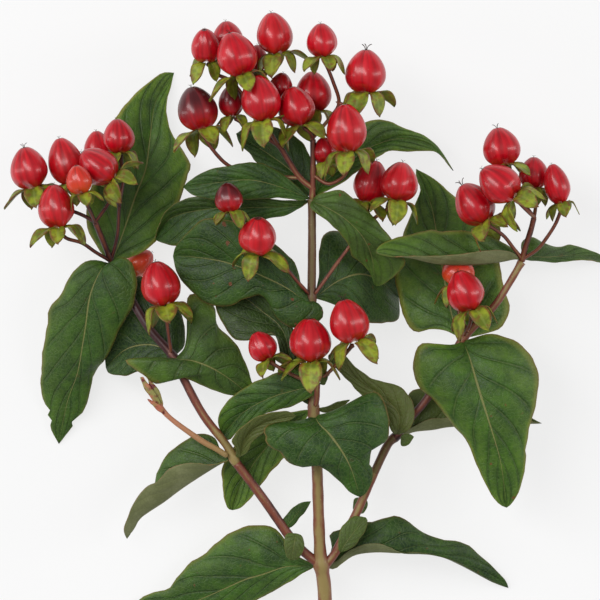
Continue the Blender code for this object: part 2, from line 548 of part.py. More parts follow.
def leaf(name, plan, material, collection):
    """A thin blade lofted between its two margins and its midrib."""
    carrier, _, middle, first, second = plan
    across, down, height, radius = NODES[carrier]
    centre = point(across, down, height)
    towards = (point(*middle[0]) - centre).normalized()
    base = centre + towards * (radius + SEAT_GAP) * MM
    midrib_points = [base] + [point(*p) for p in middle]
    midrib = smooth_curve(midrib_points, LEAF_STATIONS)
    tip = midrib_points[-1]
    margins = []
    for side in (first, second):
        outline = [base]
        for i, (a, d, lift) in enumerate(side):
            share = (i + 1) / (len(side) + 1) * (len(midrib) - 1)
            k = min(int(share), len(midrib) - 2)
            level = midrib[k].lerp(midrib[k + 1], share - k).z
            spot = point(a, d, lift)
            spot.z += level
            outline.append(spot)
        outline.append(tip)
        margins.append(smooth_curve(outline, LEAF_STATIONS))
    shape = bmesh.new()
    base_vert = shape.verts.new(base)
    tip_vert = shape.verts.new(tip)
    rows = []
    for i in range(1, LEAF_STATIONS - 1):
        a, m, b = margins[0][i], midrib[i], margins[1][i]
        rows.append([shape.verts.new(p) for p in (a, (a + m) / 2, m, (m + b) / 2, b)])
    for row, after in zip(rows, rows[1:]):
        for j in range(4):
            shape.faces.new((row[j], row[j + 1], after[j + 1], after[j]))
    for j in range(4):
        shape.faces.new((base_vert, rows[0][j + 1], rows[0][j]))
        shape.faces.new((tip_vert, rows[-1][j], rows[-1][j + 1]))
    mesh = bpy.data.meshes.new(name)
    shape.to_mesh(mesh)
    shape.free()
    blade = new_object(name, mesh, material, collection)
    shell = blade.modifiers.new("thickness", "SOLIDIFY")
    shell.thickness = LEAF_THICKNESS * MM
    shell.offset = 0.0
    return blade


def berry_mesh():
    """A berry of unit width and length with five sepals at its base, its tip along +Z."""
    shape = bmesh.new()
    bmesh.ops.create_uvsphere(shape, u_segments=BERRY_SIDES, v_segments=BERRY_RINGS, radius=0.5)
    for vert in shape.verts:
        width = BERRY_BASE - BERRY_NARROWING * (vert.co.z + 0.5)
        vert.co.x *= width
        vert.co.y *= width
    feet = [f for f in shape.faces if len(f.verts) == 4 and f.calc_center_median().z < SEPAL_FOOT]
    feet.sort(key=lambda f: math.atan2(f.calc_center_median().y, f.calc_center_median().x))
    for foot in feet[::2]:
        add_sepal(shape, foot)
    mesh = bpy.data.meshes.new("berry")
    shape.to_mesh(mesh)
    shape.free()
    return mesh


def add_sepal(shape, foot):
    """One sepal drawn out of a face near the berry's base in steps."""
    root = foot.calc_center_median()
    outward = Vector((root.x, root.y, 0)).normalized()
    sideways = Vector((-outward.y, outward.x, 0))
    face = foot
    for reach, drop, half_width, half_thickness in SEPAL_STEPS:
        face = bmesh.ops.extrude_discrete_faces(shape, faces=[face])["faces"][0]
        middle = face.calc_center_median()
        target = root + outward * reach + Vector((0, 0, drop))
        for vert in face.verts:
            side = math.copysign(half_width, (vert.co - middle).dot(sideways))
            up = math.copysign(half_thickness, vert.co.z - middle.z)
            vert.co = target + sideways * side + Vector((0, 0, up))


def berry_axis(plan):
    lean = math.radians(plan[5])
    tilt = math.radians(plan[6])
    return Vector((math.sin(lean) * math.cos(tilt), math.cos(lean) * math.cos(tilt), math.sin(tilt)))


def berry(name, plan, mesh, collection):
    """A copy of the berry, placed, turned and sized."""
    across, down, height, width, length, _, _ = plan
    thing = bpy.data.objects.new(name, mesh)
    collection.objects.link(thing)
    turn = berry_axis(plan).to_track_quat("Z", "Y").to_matrix().to_4x4()
    size = Matrix.Diagonal((width * MM, width * MM, length * MM, 1.0))
    thing.matrix_world = Matrix.Translation(point(across, down, height)) @ turn @ size
    return thing


def berry_foot(plan, clearance):
    """The drawing point at a berry's base, this many millimetres below it."""
    across, down, height, _, length, _, _ = plan
    away = berry_axis(plan) * (length / 2 + clearance)
    return (across - away.x / UNIT, down + away.y / UNIT, height - away.z)


def stalks(name, plan, materials, mesh, collection):
    """Pedicels as one branching solid, with the small or hidden berries that it carries."""
    routes, joined = plan
    pieces = []
    for i, (radius, route) in enumerate(routes):
        spots = list(route)
        if isinstance(spots[-1], str):
            carried = spots[-1]
            if carried in JOINED_BERRIES:
                spots[-1] = berry_foot(JOINED_BERRIES[carried], -JOIN_DEPTH)
            else:
                spots[-1] = berry_foot(BERRIES[carried], BERRY_GAP)
        line = [(*p, radius) for p in spots]
        pieces.append(tube(f"{name}_{i}", line, STALK_SIDES_LEVEL, materials["stalk"], collection))
    for other in joined:
        pieces.append(berry(other, JOINED_BERRIES[other], mesh.copy(), collection))
    whole = join(name, pieces) if len(pieces) > 1 else pieces[0]
    whole.name = name
    return whole


def main():
    for thing in list(bpy.data.objects):
        bpy.data.objects.remove(thing)
    collection = bpy.data.collections.new("hypericum_berry_stem")
    bpy.context.scene.collection.children.link(collection)
    materials = {name: new_material(name) for name in COLOURS}
    for name, route in STEMS.items():
        tube(name, route, STEM_SIDES_LEVEL, materials["stem"], collection)
    for name, plan in LEAVES.items():
        leaf(name, plan, materials[plan[1]], collection)
    shared = berry_mesh()
    shared.materials.append(materials["berry"])
    for name, plan in STALKS.items():
        stalks(name, plan, materials, shared, collection)
    for name, plan in BERRIES.items():
        berry(name, plan, shared, collection)


main()
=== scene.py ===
"""Looks of the hypericum berry stem: bark, leaf blades with veins, glossy berries, sepals, floor and light.

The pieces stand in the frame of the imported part. Places in the tables are drawing points
(across, down, height): across and down count thirds of a millimetre on a plan seen from above,
and height is in millimetres above the floor.
"""

import math

import bpy
from mathutils import Matrix, Vector, noise


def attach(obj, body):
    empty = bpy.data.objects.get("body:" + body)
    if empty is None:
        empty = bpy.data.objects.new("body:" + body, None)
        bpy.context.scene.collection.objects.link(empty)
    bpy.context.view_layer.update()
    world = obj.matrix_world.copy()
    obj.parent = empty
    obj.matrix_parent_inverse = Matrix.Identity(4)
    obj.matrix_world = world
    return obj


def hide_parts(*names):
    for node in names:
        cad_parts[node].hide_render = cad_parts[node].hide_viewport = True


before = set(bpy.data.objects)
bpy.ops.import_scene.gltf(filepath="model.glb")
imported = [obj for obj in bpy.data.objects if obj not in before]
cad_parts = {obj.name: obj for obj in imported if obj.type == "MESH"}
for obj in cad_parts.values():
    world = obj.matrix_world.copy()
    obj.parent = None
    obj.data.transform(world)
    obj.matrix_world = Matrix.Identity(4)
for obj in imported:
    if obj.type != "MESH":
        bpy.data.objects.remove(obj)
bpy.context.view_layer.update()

bl_info = {
    "name": "Hypericum berry stem",
    "version": (1, 0, 0),
    "blender": (4, 5, 0),
    "location": "3D View > Sidebar > Stem",
    "description": "Builds a cut hypericum stem with leaves and berries, its floor and light",
    "category": "Object",
}

# Sizes in millimetres
MM = 0.001
UNIT = 1.0 / 3.0  # one drawing unit
BERRY_GAP = 0.2  # clearance between a berry and its pedicel
PEDICEL = 0.62  # pedicel radius
PEDUNCLE = 0.95  # radius of the stalks that carry several pedicels
BRANCH = 1.42  # radius of the upper left branch
ORIGIN_ACROSS = 312.9  # drawing point at the origin
ORIGIN_DOWN = 397.3
FRAME_CENTRE = (300.0, 300.0)  # drawing point in the middle of the picture
FRAME_WIDTH = 200.0
FRAME_LEVEL = 35.0  # height at which the picture is FRAME_WIDTH across
CAMERA_DISTANCE = 4500.0  # far off, so that the view is nearly without perspective
SENSOR = 36.0

# Leaf nodes of the stem and branches: across, down, height, stem radius there
NODES = {
    "main_low": (321.5, 566, 20.0, 2.3),
    "main_mid": (313.5, 408, 32.3, 1.65),
    "main_mid_front": (314.0, 414, 31.9, 1.65),
    "main_high": (311.5, 299, 36.0, 1.45),
    "main_top": (312.0, 199, 38.0, 1.3),
    "left_low": (233.0, 459, 26.0, 1.5),
    "left_mid": (174.0, 358, 26.0, 1.45),
    "left_top": (110.5, 263, 20.0, 1.35),
    "right_low": (396.0, 437, 24.0, 1.4),
    "right_mid": (463.0, 340, 26.0, 1.3),
    "right_top": (522.0, 260, 24.5, 1.2),
    "fork_low": (317.0, 381, 39.4, 0.95),
}

# Routes of the woody stems: across, down, height, radius
STEMS = {
    "main_stem": [
        (327, 780, 2.52, 2.6), (325, 690, 10.0, 2.5), (325, 600, 17.0, 2.35), (321.5, 566, 20.0, 2.3),
        (319.5, 540, 22.0, 1.95), (317, 466, 28.0, 1.85), (313.5, 408, 32.3, 1.65),
        (311, 350, 34.5, 1.5), (311.5, 299, 36.0, 1.45), (312, 250, 37.2, 1.4), (312, 199, 38.0, 1.3),
    ],
    "branch_left_low": [
        (311, 558.5, 20.4, 1.6), (300, 549, 20.8, 1.6), (288, 535, 21.2, 1.6),
        (263, 499, 23.5, 1.55), (236, 463, 25.8, 1.5),
    ],
    "branch_right_low": [
        (333, 557, 20.2, 1.45), (340, 545, 20.8, 1.5), (356, 515, 21.6, 1.5), (375, 472, 22.8, 1.45),
        (388, 445, 23.6, 1.4), (395.5, 437.5, 23.9, 1.4),
    ],
    "branch_right_high": [
        (396.6, 436.3, 24.0, 1.4), (412, 417, 24.6, 1.35), (430, 395, 25.2, 1.35), (462, 341, 26.0, 1.3),
        (493, 308, 25.6, 1.25), (508, 286, 25.2, 1.2), (522, 262, 24.6, 1.2),
    ],
    "side_shoot": [
        (224.5, 454.5, 27.9, 1.1), (216, 449, 28.6, 1.15), (200, 440, 29.2, 1.15),
        (171, 419, 29.8, 1.0), (158, 404, 30.2, 1.2), (141, 377, 30.6, 0.7),
    ],
}

# Leaves: the node that carries the leaf, the midrib with heights, and each margin with its lift above it
LEAVES = {
    "leaf_left_top_upper": (
        "left_top", "leaf",
        [(116, 250, 18), (125, 225, 16), (135, 195, 13.5), (145, 168, 11), (149, 138, 8), (155, 100, 4),
         (173, 71, 0.25)],
        [(100, 252, 0), (86, 225, 0), (88, 195, 0), (98, 165, 0), (105, 140, 0), (117, 114, 0),
         (130, 97, 0), (150, 79, 0), (162, 71, 0)],
        [(130, 257, 0), (145, 250, 1), (160, 235, 1), (167, 218, 1), (180, 198, 1), (185, 180, 1),
         (190, 165, 1), (180, 147, 1), (170, 130, 1), (166, 115, 1), (166, 100, 1), (170, 84, 0)],
    ),
    "leaf_left_top_lower": (
        "left_top", "leaf",
        [(102, 268, 24.5), (93, 285, 24), (88, 302, 22.5), (85, 325, 19.5), (81, 350, 15.5), (76, 375, 10.5),
         (66, 402, 5), (57, 445, 0.25)],
        [(90, 260, -1), (74, 270, -2), (65, 285, -3), (58, 298, -3), (49, 308, -3), (46, 325, -3),
         (42, 345, -3), (40, 368, -2.5), (39, 385, -2), (42, 402, -1), (47, 425, 0)],
        [(120, 257, 1.5), (131, 262, 1.5), (136, 278, 3.5), (136, 292, 5), (131, 310, 5.5), (120, 327, 5),
         (112, 345, 4), (104, 360, 3), (94, 371, 2), (89, 390, 1.5), (84, 408, 1), (70, 428, 0)],
    ),
    "leaf_left_mid_right": (
        "left_mid", "leaf",
        [(180, 360, 29.4), (195, 362, 30), (215, 370, 29), (236, 384, 27), (250, 397, 25)],
        [(186, 345, -3), (187, 320, -4), (188, 297, -4), (200, 296, -3), (214, 307, -2), (217, 325, -1),
         (235, 343, 0), (246, 365, 0), (253, 383, 0)],
        [(160, 358, 0.5), (140, 358, 0.5), (125, 361, 0.5), (137, 371, 0.5), (147, 379, 0.5), (157, 384, 0.5),
         (168, 379, 0), (180, 376, 0), (192, 381, 0), (213, 390, 0), (230, 395, 0)],
    ),
    "leaf_left_mid_left": (
        "left_mid", "leaf",
        [(165, 350, 21.5), (148, 345, 19), (125, 350, 15), (105, 368, 10)],
        [(184, 345, -4), (182, 318, -3), (168, 296, -1.5), (150, 283, 0), (138, 276, 0), (125, 288, 0),
         (112, 312, 0), (104, 345, 0)],
        [(160, 367, 0), (138, 372, 0), (120, 376, 0), (109, 374, 0)],
    ),
    "leaf_left_low_left": (
        "left_low", "leaf_pale",
        [(219, 465, 25), (186, 486, 21), (163, 503, 18), (141, 518, 15), (133, 530, 13), (126, 540, 11)],
        [(211, 465, 3), (190, 463, 5), (171, 468, 5.5), (157, 482, 5), (144, 489, 4), (133, 505, 3),
         (126, 520, 2), (123, 532, 1)],
        [(221, 452, -1.5), (215, 439, -2), (204, 434, -1), (190, 438, 0), (176, 447, 0), (164, 459, 0),
         (157, 473, 0), (154, 486, 0), (147, 500, 0), (137, 518, 0), (129, 533, 0)],
    ),
    "leaf_left_low_right": (
        "left_low", "leaf_pale",
        [(240.5, 456, 27.5), (243.5, 442, 29), (254, 428.5, 31), (270, 421, 32.5), (296, 416, 33.5)],
        [(236, 449, 2), (232, 440, 2.5), (241, 428, 3), (255, 418, 3), (270, 413, 2.5), (286, 411, 1.5)],
        [(247, 453, 0), (253, 441, 0), (266, 431, 0), (284, 424, 0)],
    ),
    "leaf_main_mid_olive": (
        "main_mid", "leaf_pale",
        [(303, 416, 29), (283, 430, 22), (258, 458, 18.5), (241, 485, 16), (232, 511, 14)],
        [(288, 413, 0), (262, 421, 0), (240, 440, 0), (227, 456, 0), (222, 470, 0), (222, 485, 0),
         (224, 500, 0), (227, 509, 0)],
        [(300, 430, 0), (291, 450, 0), (284, 459, 0), (274, 468, 0), (266, 479, 0), (256, 492, 0),
         (247, 503, 0), (240, 509, 0)],
    ),
    "leaf_main_mid_upper": (
        "fork_low", "leaf",
        [(310, 387, 37.2), (296, 390, 36), (270, 398, 32), (243, 413, 27), (222, 437, 22)],
        [(330, 374, 1), (312, 367, 2), (290, 368, 1.5), (270, 376, 0), (250, 384, 0), (233, 396, 0),
         (221, 410, 0), (218, 422, 0)],
        [(318, 392, 0), (305, 400, 0), (290, 407, 0), (270, 412, 0), (255, 420, 0), (240, 430, 0),
         (229, 440, 0)],
    ),
    "leaf_main_mid_front": (
        "main_mid_front", "leaf",
        [(319, 424, 36.0), (330, 435, 37.5), (343, 453, 38), (352, 471, 37), (360, 497, 34)],
        [(300, 421, 0), (282, 422, -1), (265, 427, -1.5), (266, 442, -2), (280, 453, -2), (290, 463, -2),
         (302, 467, -2), (312, 463, -1.5), (325, 469, -1), (338, 480, -1), (350, 492, 0)],
        [(330, 412, 0), (345, 405, -0.5), (362, 396, -1), (376, 391, -1.5), (384, 402, -2), (389, 420, -2.5),
         (387, 440, -3), (374, 445, -2), (370, 458, -1.5), (373, 470, -1), (371, 484, -0.5), (366, 493, 0)],
    ),
    "leaf_main_mid_right": (
        "main_mid", "leaf_pale",
        [(321, 410.5, 31.2), (335, 406, 30.5), (350, 400, 29.8)],
        [(326, 406.5, 0), (338, 402, 0)],
        [(326, 413, 0), (340, 408, 0)],
    ),
    "leaf_right_low_left": (
        "right_low", "leaf_pale",
        [(399, 428, 28), (398, 412, 29), (380, 395, 30), (358, 380, 31), (332, 352, 32)],
        [(409, 430, 1.5), (415, 415, 0.5), (411, 400, 0), (399, 386, 0), (385, 382, 0), (370, 378, 0),
         (355, 366, 0), (342, 352, 0)],
        [(391, 430, 0), (386, 415, 0), (378, 408, 0), (364, 398, 0), (350, 383, 0), (338, 370, 0),
         (328, 358, 0)],
    ),
    "leaf_right_low_right": (
        "right_low", "leaf",
        [(404, 436, 22), (415, 432, 21), (434, 430, 20), (453, 427, 19), (500, 425, 15), (543, 424, 12)],
        [(415, 426, 1.8), (428, 420, 3), (446, 418, 3.5), (480, 418, 3), (520, 420, 1.5)],
        [(403, 420, -1), (409, 395, -1), (425, 388, 0), (460, 385, 0), (500, 400, 0), (530, 417, 0)],
    ),
    "leaf_right_mid_lower": (
        "right_mid", "leaf",
        [(466, 348, 29), (471, 362, 32), (479, 390, 34.5), (491, 428, 34), (501, 463, 31), (507, 508, 25)],
        [(452, 345, 0), (435, 344, -1), (422, 344, -2), (415, 355, -3), (414, 371, -4), (420, 388, -4),
         (432, 398, -4), (445, 414, -3), (456, 428, -3), (468, 442, -2), (477, 465, -1), (487, 487, 0),
         (498, 503, 0)],
        [(478, 337, 0), (490, 334, -1), (505, 337, -2), (522, 346, -3), (534, 360, -4), (539, 380, -4),
         (536, 405, -4), (530, 425, -3), (527, 445, -2), (525, 470, -1), (520, 490, 0), (513, 503, 0)],
    ),
    "leaf_right_mid_upper": (
        "right_mid", "leaf",
        [(457, 332, 23), (452, 315, 21.5), (445, 280, 18), (439, 245, 13), (432, 205, 7), (417, 168, 0.25)],
        [(447, 331, 0), (432, 329, 0), (417, 332, 0), (406, 320, 0), (400, 301, 0), (396, 278, 0),
         (399, 255, 0), (404, 234, 0), (413, 211, 0), (421, 190, 0), (417, 177, 0)],
        [(489, 333, 0), (503, 326, 0), (510, 307, 0), (504, 286, 0), (500, 263, 0), (492, 240, 0),
         (478, 220, 0), (465, 205, 0), (453, 194, 0), (436, 179, 0)],
    ),
    "leaf_right_top_left": (
        "right_top", "leaf",
        [(515, 259, 26.3), (500, 262, 27), (472, 265, 30), (438, 264, 34), (410, 258, 37.5), (390, 256, 39.3),
         (376, 253, 40)],
        [(512, 252, 2), (491, 250, 4), (460, 254, 5), (430, 256, 4), (407, 256, 2), (390, 257, 0.5)],
        [(512, 248, -1.5), (500, 241, 0), (485, 234, 1), (463, 231, 2), (445, 232, 2), (430, 230, 2),
         (412, 234, 1), (402, 237, 0.5), (390, 240, 0), (382, 244, 0), (377, 249, 0)],
    ),
    "leaf_right_top_right": (
        "right_top", "leaf",
        [(532, 257, 22.5), (550, 257, 19), (575, 255, 12), (596, 257, 5.5), (613, 260, 0.25)],
        [(522, 243, -2), (532, 237, -1), (545, 243, 0), (558, 247, 0), (572, 245, 0), (588, 249, 0),
         (601, 254, 0)],
        [(540, 261, 0), (560, 262, 0), (587, 260, 0), (602, 262, 0)],
    ),
    "leaf_main_top_back_right": (
        "main_top", "leaf",
        [(322, 185, 34), (345, 165, 28), (375, 145, 23), (405, 138, 20), (432, 146, 16), (454, 170, 11)],
        [(318, 160, 0), (335, 140, 0), (352, 128, 0), (368, 121, 0), (380, 119, 0), (392, 122, 0),
         (405, 128, 0), (420, 133, 0), (432, 140, 0), (442, 151, 0)],
        [(340, 184, 0), (356, 172, 0), (368, 163, 0), (380, 155, 0), (392, 150, 0), (405, 151, 0),
         (420, 150, 0), (433, 150, 0), (443, 156, 0)],
    ),
    "leaf_main_top_back_left": (
        "main_top", "leaf",
        [(303, 185, 34.5), (290, 170, 31), (270, 155, 27), (250, 142, 22), (236, 133, 17)],
        [(313, 165, 0), (300, 140, 0), (280, 128, 0), (258, 126, 0), (243, 129, 0)],
        [(290, 187, 0), (275, 177, 0), (262, 167, 0), (249, 153, 0), (239, 142, 0)],
    ),
    "leaf_main_top_right": (
        "main_top", "leaf",
        [(315, 203, 40.6), (327, 208, 41.2), (345, 219, 41), (362, 236, 38), (372, 258, 33), (375, 286, 28)],
        [(318, 195, 0), (328, 192, 0), (339, 190, 0), (350, 196, 0), (362, 206, 0), (375, 219, 0),
         (388, 235, 0), (399, 249, 0), (405, 263, 0), (396, 275, 0), (384, 284, 0)],
        [(310, 208, 0), (320, 216, 0), (331, 225, 0), (341, 234, 0), (348, 245, 0), (353, 256, 0),
         (364, 265, 0), (371, 275, 0)],
    ),
    "leaf_main_top_left": (
        "main_top", "leaf",
        [(300, 195, 40.4), (280, 187, 41), (250, 180, 41), (215, 183, 39), (183, 187, 36)],
        [(296, 186, 0), (280, 173, 0), (262, 164, 0), (245, 163, 0), (228, 166, 0), (210, 170, 0),
         (195, 177, 0)],
        [(300, 201, 0), (285, 198, 0), (265, 199, 0), (240, 200, 0), (215, 200, 0), (195, 196, 0)],
    ),
    "leaf_main_top_low_left": (
        "main_top", "leaf",
        [(300, 206, 36), (270, 207, 33.5), (235, 208, 30), (205, 209, 27), (170, 218, 23), (155, 239, 19)],
        [(280, 200, 0), (250, 196, 0), (215, 195, 0), (190, 197, 0), (168, 208, 0), (158, 226, 0)],
        [(290, 214, 0), (262, 220, -1), (228, 226, -2), (200, 236, -2), (177, 245, -1), (162, 243, 0)],
    ),
    "leaf_main_high_left": (
        "main_high", "leaf",
        [(306, 302, 38.4), (285, 287, 38), (255, 273, 37), (225, 262, 34.5), (195, 257, 31.5),
         (173, 256, 28.5)],
        [(301, 285, -1), (294, 262, -1), (268, 240, -1), (237, 223, 0), (213, 218, 0), (200, 221, 0),
         (190, 230, 0), (183, 237, 0), (176, 246, 0)],
        [(321, 306, 0), (322, 319, 0), (306, 327, 0), (290, 327, 0), (277, 318, 0), (269, 303, 0),
         (260, 295, 0), (245, 299, 0), (228, 306, 0), (207, 304, 0), (191, 291, 0), (178, 275, 0)],
    ),
    "leaf_main_high_low_left": (
        "main_mid", "leaf_pale",
        [(298, 396, 33), (291, 372, 33), (287, 342, 32.5), (279, 325, 31), (262, 311, 29), (245, 298, 27.5),
         (226, 288, 26)],
        [(290, 390, 0), (281, 358, 0), (275, 334, 0), (262, 336, 0), (245, 341, 0), (233, 338, 0),
         (224, 325, 0), (217, 310, 0), (215, 296, 0)],
        [(302, 374, 0), (298, 345, 0), (291, 324, 0), (281, 306, 0), (266, 290, 0), (249, 282, 0),
         (234, 281, 0)],
    ),
    "leaf_main_high_right": (
        "main_high", "leaf",
        [(321, 293, 34.2), (338, 281, 31), (360, 274, 26), (380, 281, 17), (399, 298, 10)],
        [(319, 275, 0), (319, 252, 0), (325, 234, 0), (340, 231, 0), (362, 243, 0), (384, 258, 0),
         (397, 275, 0)],
        [(327, 302, 0), (345, 309, 0), (366, 322, 0), (384, 323, 0), (399, 319, 0)],
    ),
    "leaf_main_low_left": (
        "main_low", "leaf",
        [(302, 567, 17), (285, 568, 16), (262, 576, 14), (245, 581, 12), (225, 590, 9.5), (205, 599, 7),
         (165, 616, 3), (132, 628, 0.25)],
        [(297, 557, 0), (288, 545, 0), (276, 530, 0), (262, 526, 0), (245, 528, 0), (230, 534, 0),
         (217, 544, 0), (205, 555, 0), (190, 564, 0), (178, 577, 0), (168, 590, 0), (152, 594, 0),
         (138, 602, 0), (130, 614, 0)],
        [(302, 575, 0), (291, 582, 0), (281, 588, 0), (272, 593, 0), (258, 601, 0), (240, 609, 0),
         (215, 619, 0), (185, 628, 0), (155, 633, 0)],
    ),
    "leaf_main_low_right": (
        "main_low", "leaf",
        [(334, 570, 17.4), (341, 565, 17.6), (355, 556, 18.4), (376, 553, 19.4), (400, 554, 18.5),
         (422, 554, 17), (449, 560, 13.5), (468, 569, 9.5), (490, 581, 5), (510, 590, 0.25)],
        [(337, 562, 0), (350, 551, 1.5), (366, 545, 2.5), (378, 544, 2.5), (392, 549, 2), (402, 554, 1),
         (420, 555, 0.5), (435, 556, 0.5), (450, 561, 0), (470, 571, 0), (492, 583, 0)],
        [(332, 548, -2), (330, 535, -3), (342, 530, -3), (360, 524, -3), (374, 522, -2), (386, 519, -1),
         (396, 517, -1), (406, 521, 0), (418, 530, 0), (430, 537, 0), (445, 541, 0), (460, 543, 0),
         (470, 548, 0), (481, 557, 0), (495, 570, 0), (506, 581, 0)],
    ),
}

# Berries that are nodes of their own: centre (across, down, height), width, length, lean to +X and
# tilt up towards +Z in degrees
BERRIES = {
    "berry_left_1": (29, 168, 33.0, 12.6, 14.6, -14, 5),
    "berry_left_2": (65, 161, 29.5, 11.8, 16.2, -15, 0),
    "berry_left_3": (118, 136, 30.0, 10.6, 11.8, -5, 5),
    "berry_left_4": (98, 166, 38.5, 12.0, 14.4, -50, 5),
    "berry_left_5": (56.5, 206.5, 40.5, 12.2, 15.0, -8, 5),
    "berry_top_1": (206, 46, 44.0, 9.8, 12.4, -5, 30),
    "berry_top_2": (236, 55, 50.5, 13.4, 15.2, -17, 5),
    "berry_top_3": (274, 34, 42.0, 12.0, 14.4, -8, 5),
    "berry_top_4": (322, 41, 46.0, 10.3, 11.6, -5, 5),
    "berry_top_5": (366, 72, 44.0, 13.6, 15.0, 0, 5),
    "berry_top_6": (197, 109, 42.0, 13.4, 15.4, -15, 0),
    "berry_top_7": (260, 99, 51.0, 13.2, 16.0, -10, 5),
    "berry_top_8": (296, 107, 46.0, 12.4, 13.8, -15, 5),
    "berry_top_9": (347, 129, 52.0, 13.4, 16.6, -5, 5),
    "berry_right_1": (501, 147, 35.5, 12.6, 13.4, -12, 0),
    "berry_right_2": (498, 184, 46.0, 13.0, 15.0, -48, 5),
    "berry_right_3": (474, 204, 36.5, 13.0, 15.4, -32, 0),
    "berry_right_4": (557, 184, 36.0, 8.6, 14.0, -15, 0),
    "berry_low_1": (262, 346, 43.0, 9.6, 10.4, -28, 5),
    "berry_low_3": (348, 321, 48.0, 13.2, 15.2, -14, 10),
}

# Berries that are one solid with the stalks that carry them: as above
JOINED_BERRIES = {
    "left_axil_front": (160, 284, 36.5, 13.2, 15.6, -12, 5),
    "right_axil_front": (465, 291, 38.0, 12.6, 14.4, -20, 5),
    "left_small": (79.5, 180, 46.5, 8.6, 10.0, -12, 10),
    "left_back": (97, 148, 22.0, 9.5, 12.0, -5, 0),
    "left_axil_back": (139, 262, 10.5, 8.6, 10.5, 50, 0),
    "top_dark": (231, 102, 40.0, 8.4, 10.4, -8, 0),
    "top_back": (228, 38, 36.0, 10.5, 11.5, -8, 0),
    "top_middle": (313, 92, 34.5, 12.2, 14.0, -3, 0),
    "top_hidden_left": (257, 58, 33.0, 7.0, 9.0, 0, 0),
    "top_hidden_middle": (281, 86, 38.0, 8.0, 9.0, 10, 0),
    "top_hidden_right": (325, 150, 40.0, 8.0, 8.6, -10, 0),
    "right_dark": (534, 173, 29.5, 10.0, 11.0, 0, 0),
    "right_axil_back": (458, 271, 26.0, 11.0, 11.0, 0, 0),
    "low_front": (310, 340, 46.0, 14.0, 15.0, -3, 10),
    "mid_front": (258, 236, 50.0, 12.6, 13.2, 0, 25),
    "mid_small": (229, 198, 50.0, 9.4, 10.2, -8, 0),
    "mid_dark": (371, 182, 33.5, 11.6, 15.0, 15, 0),
    "mid_dark_right": (399, 182, 41.0, 12.6, 13.6, 10, 0),
}

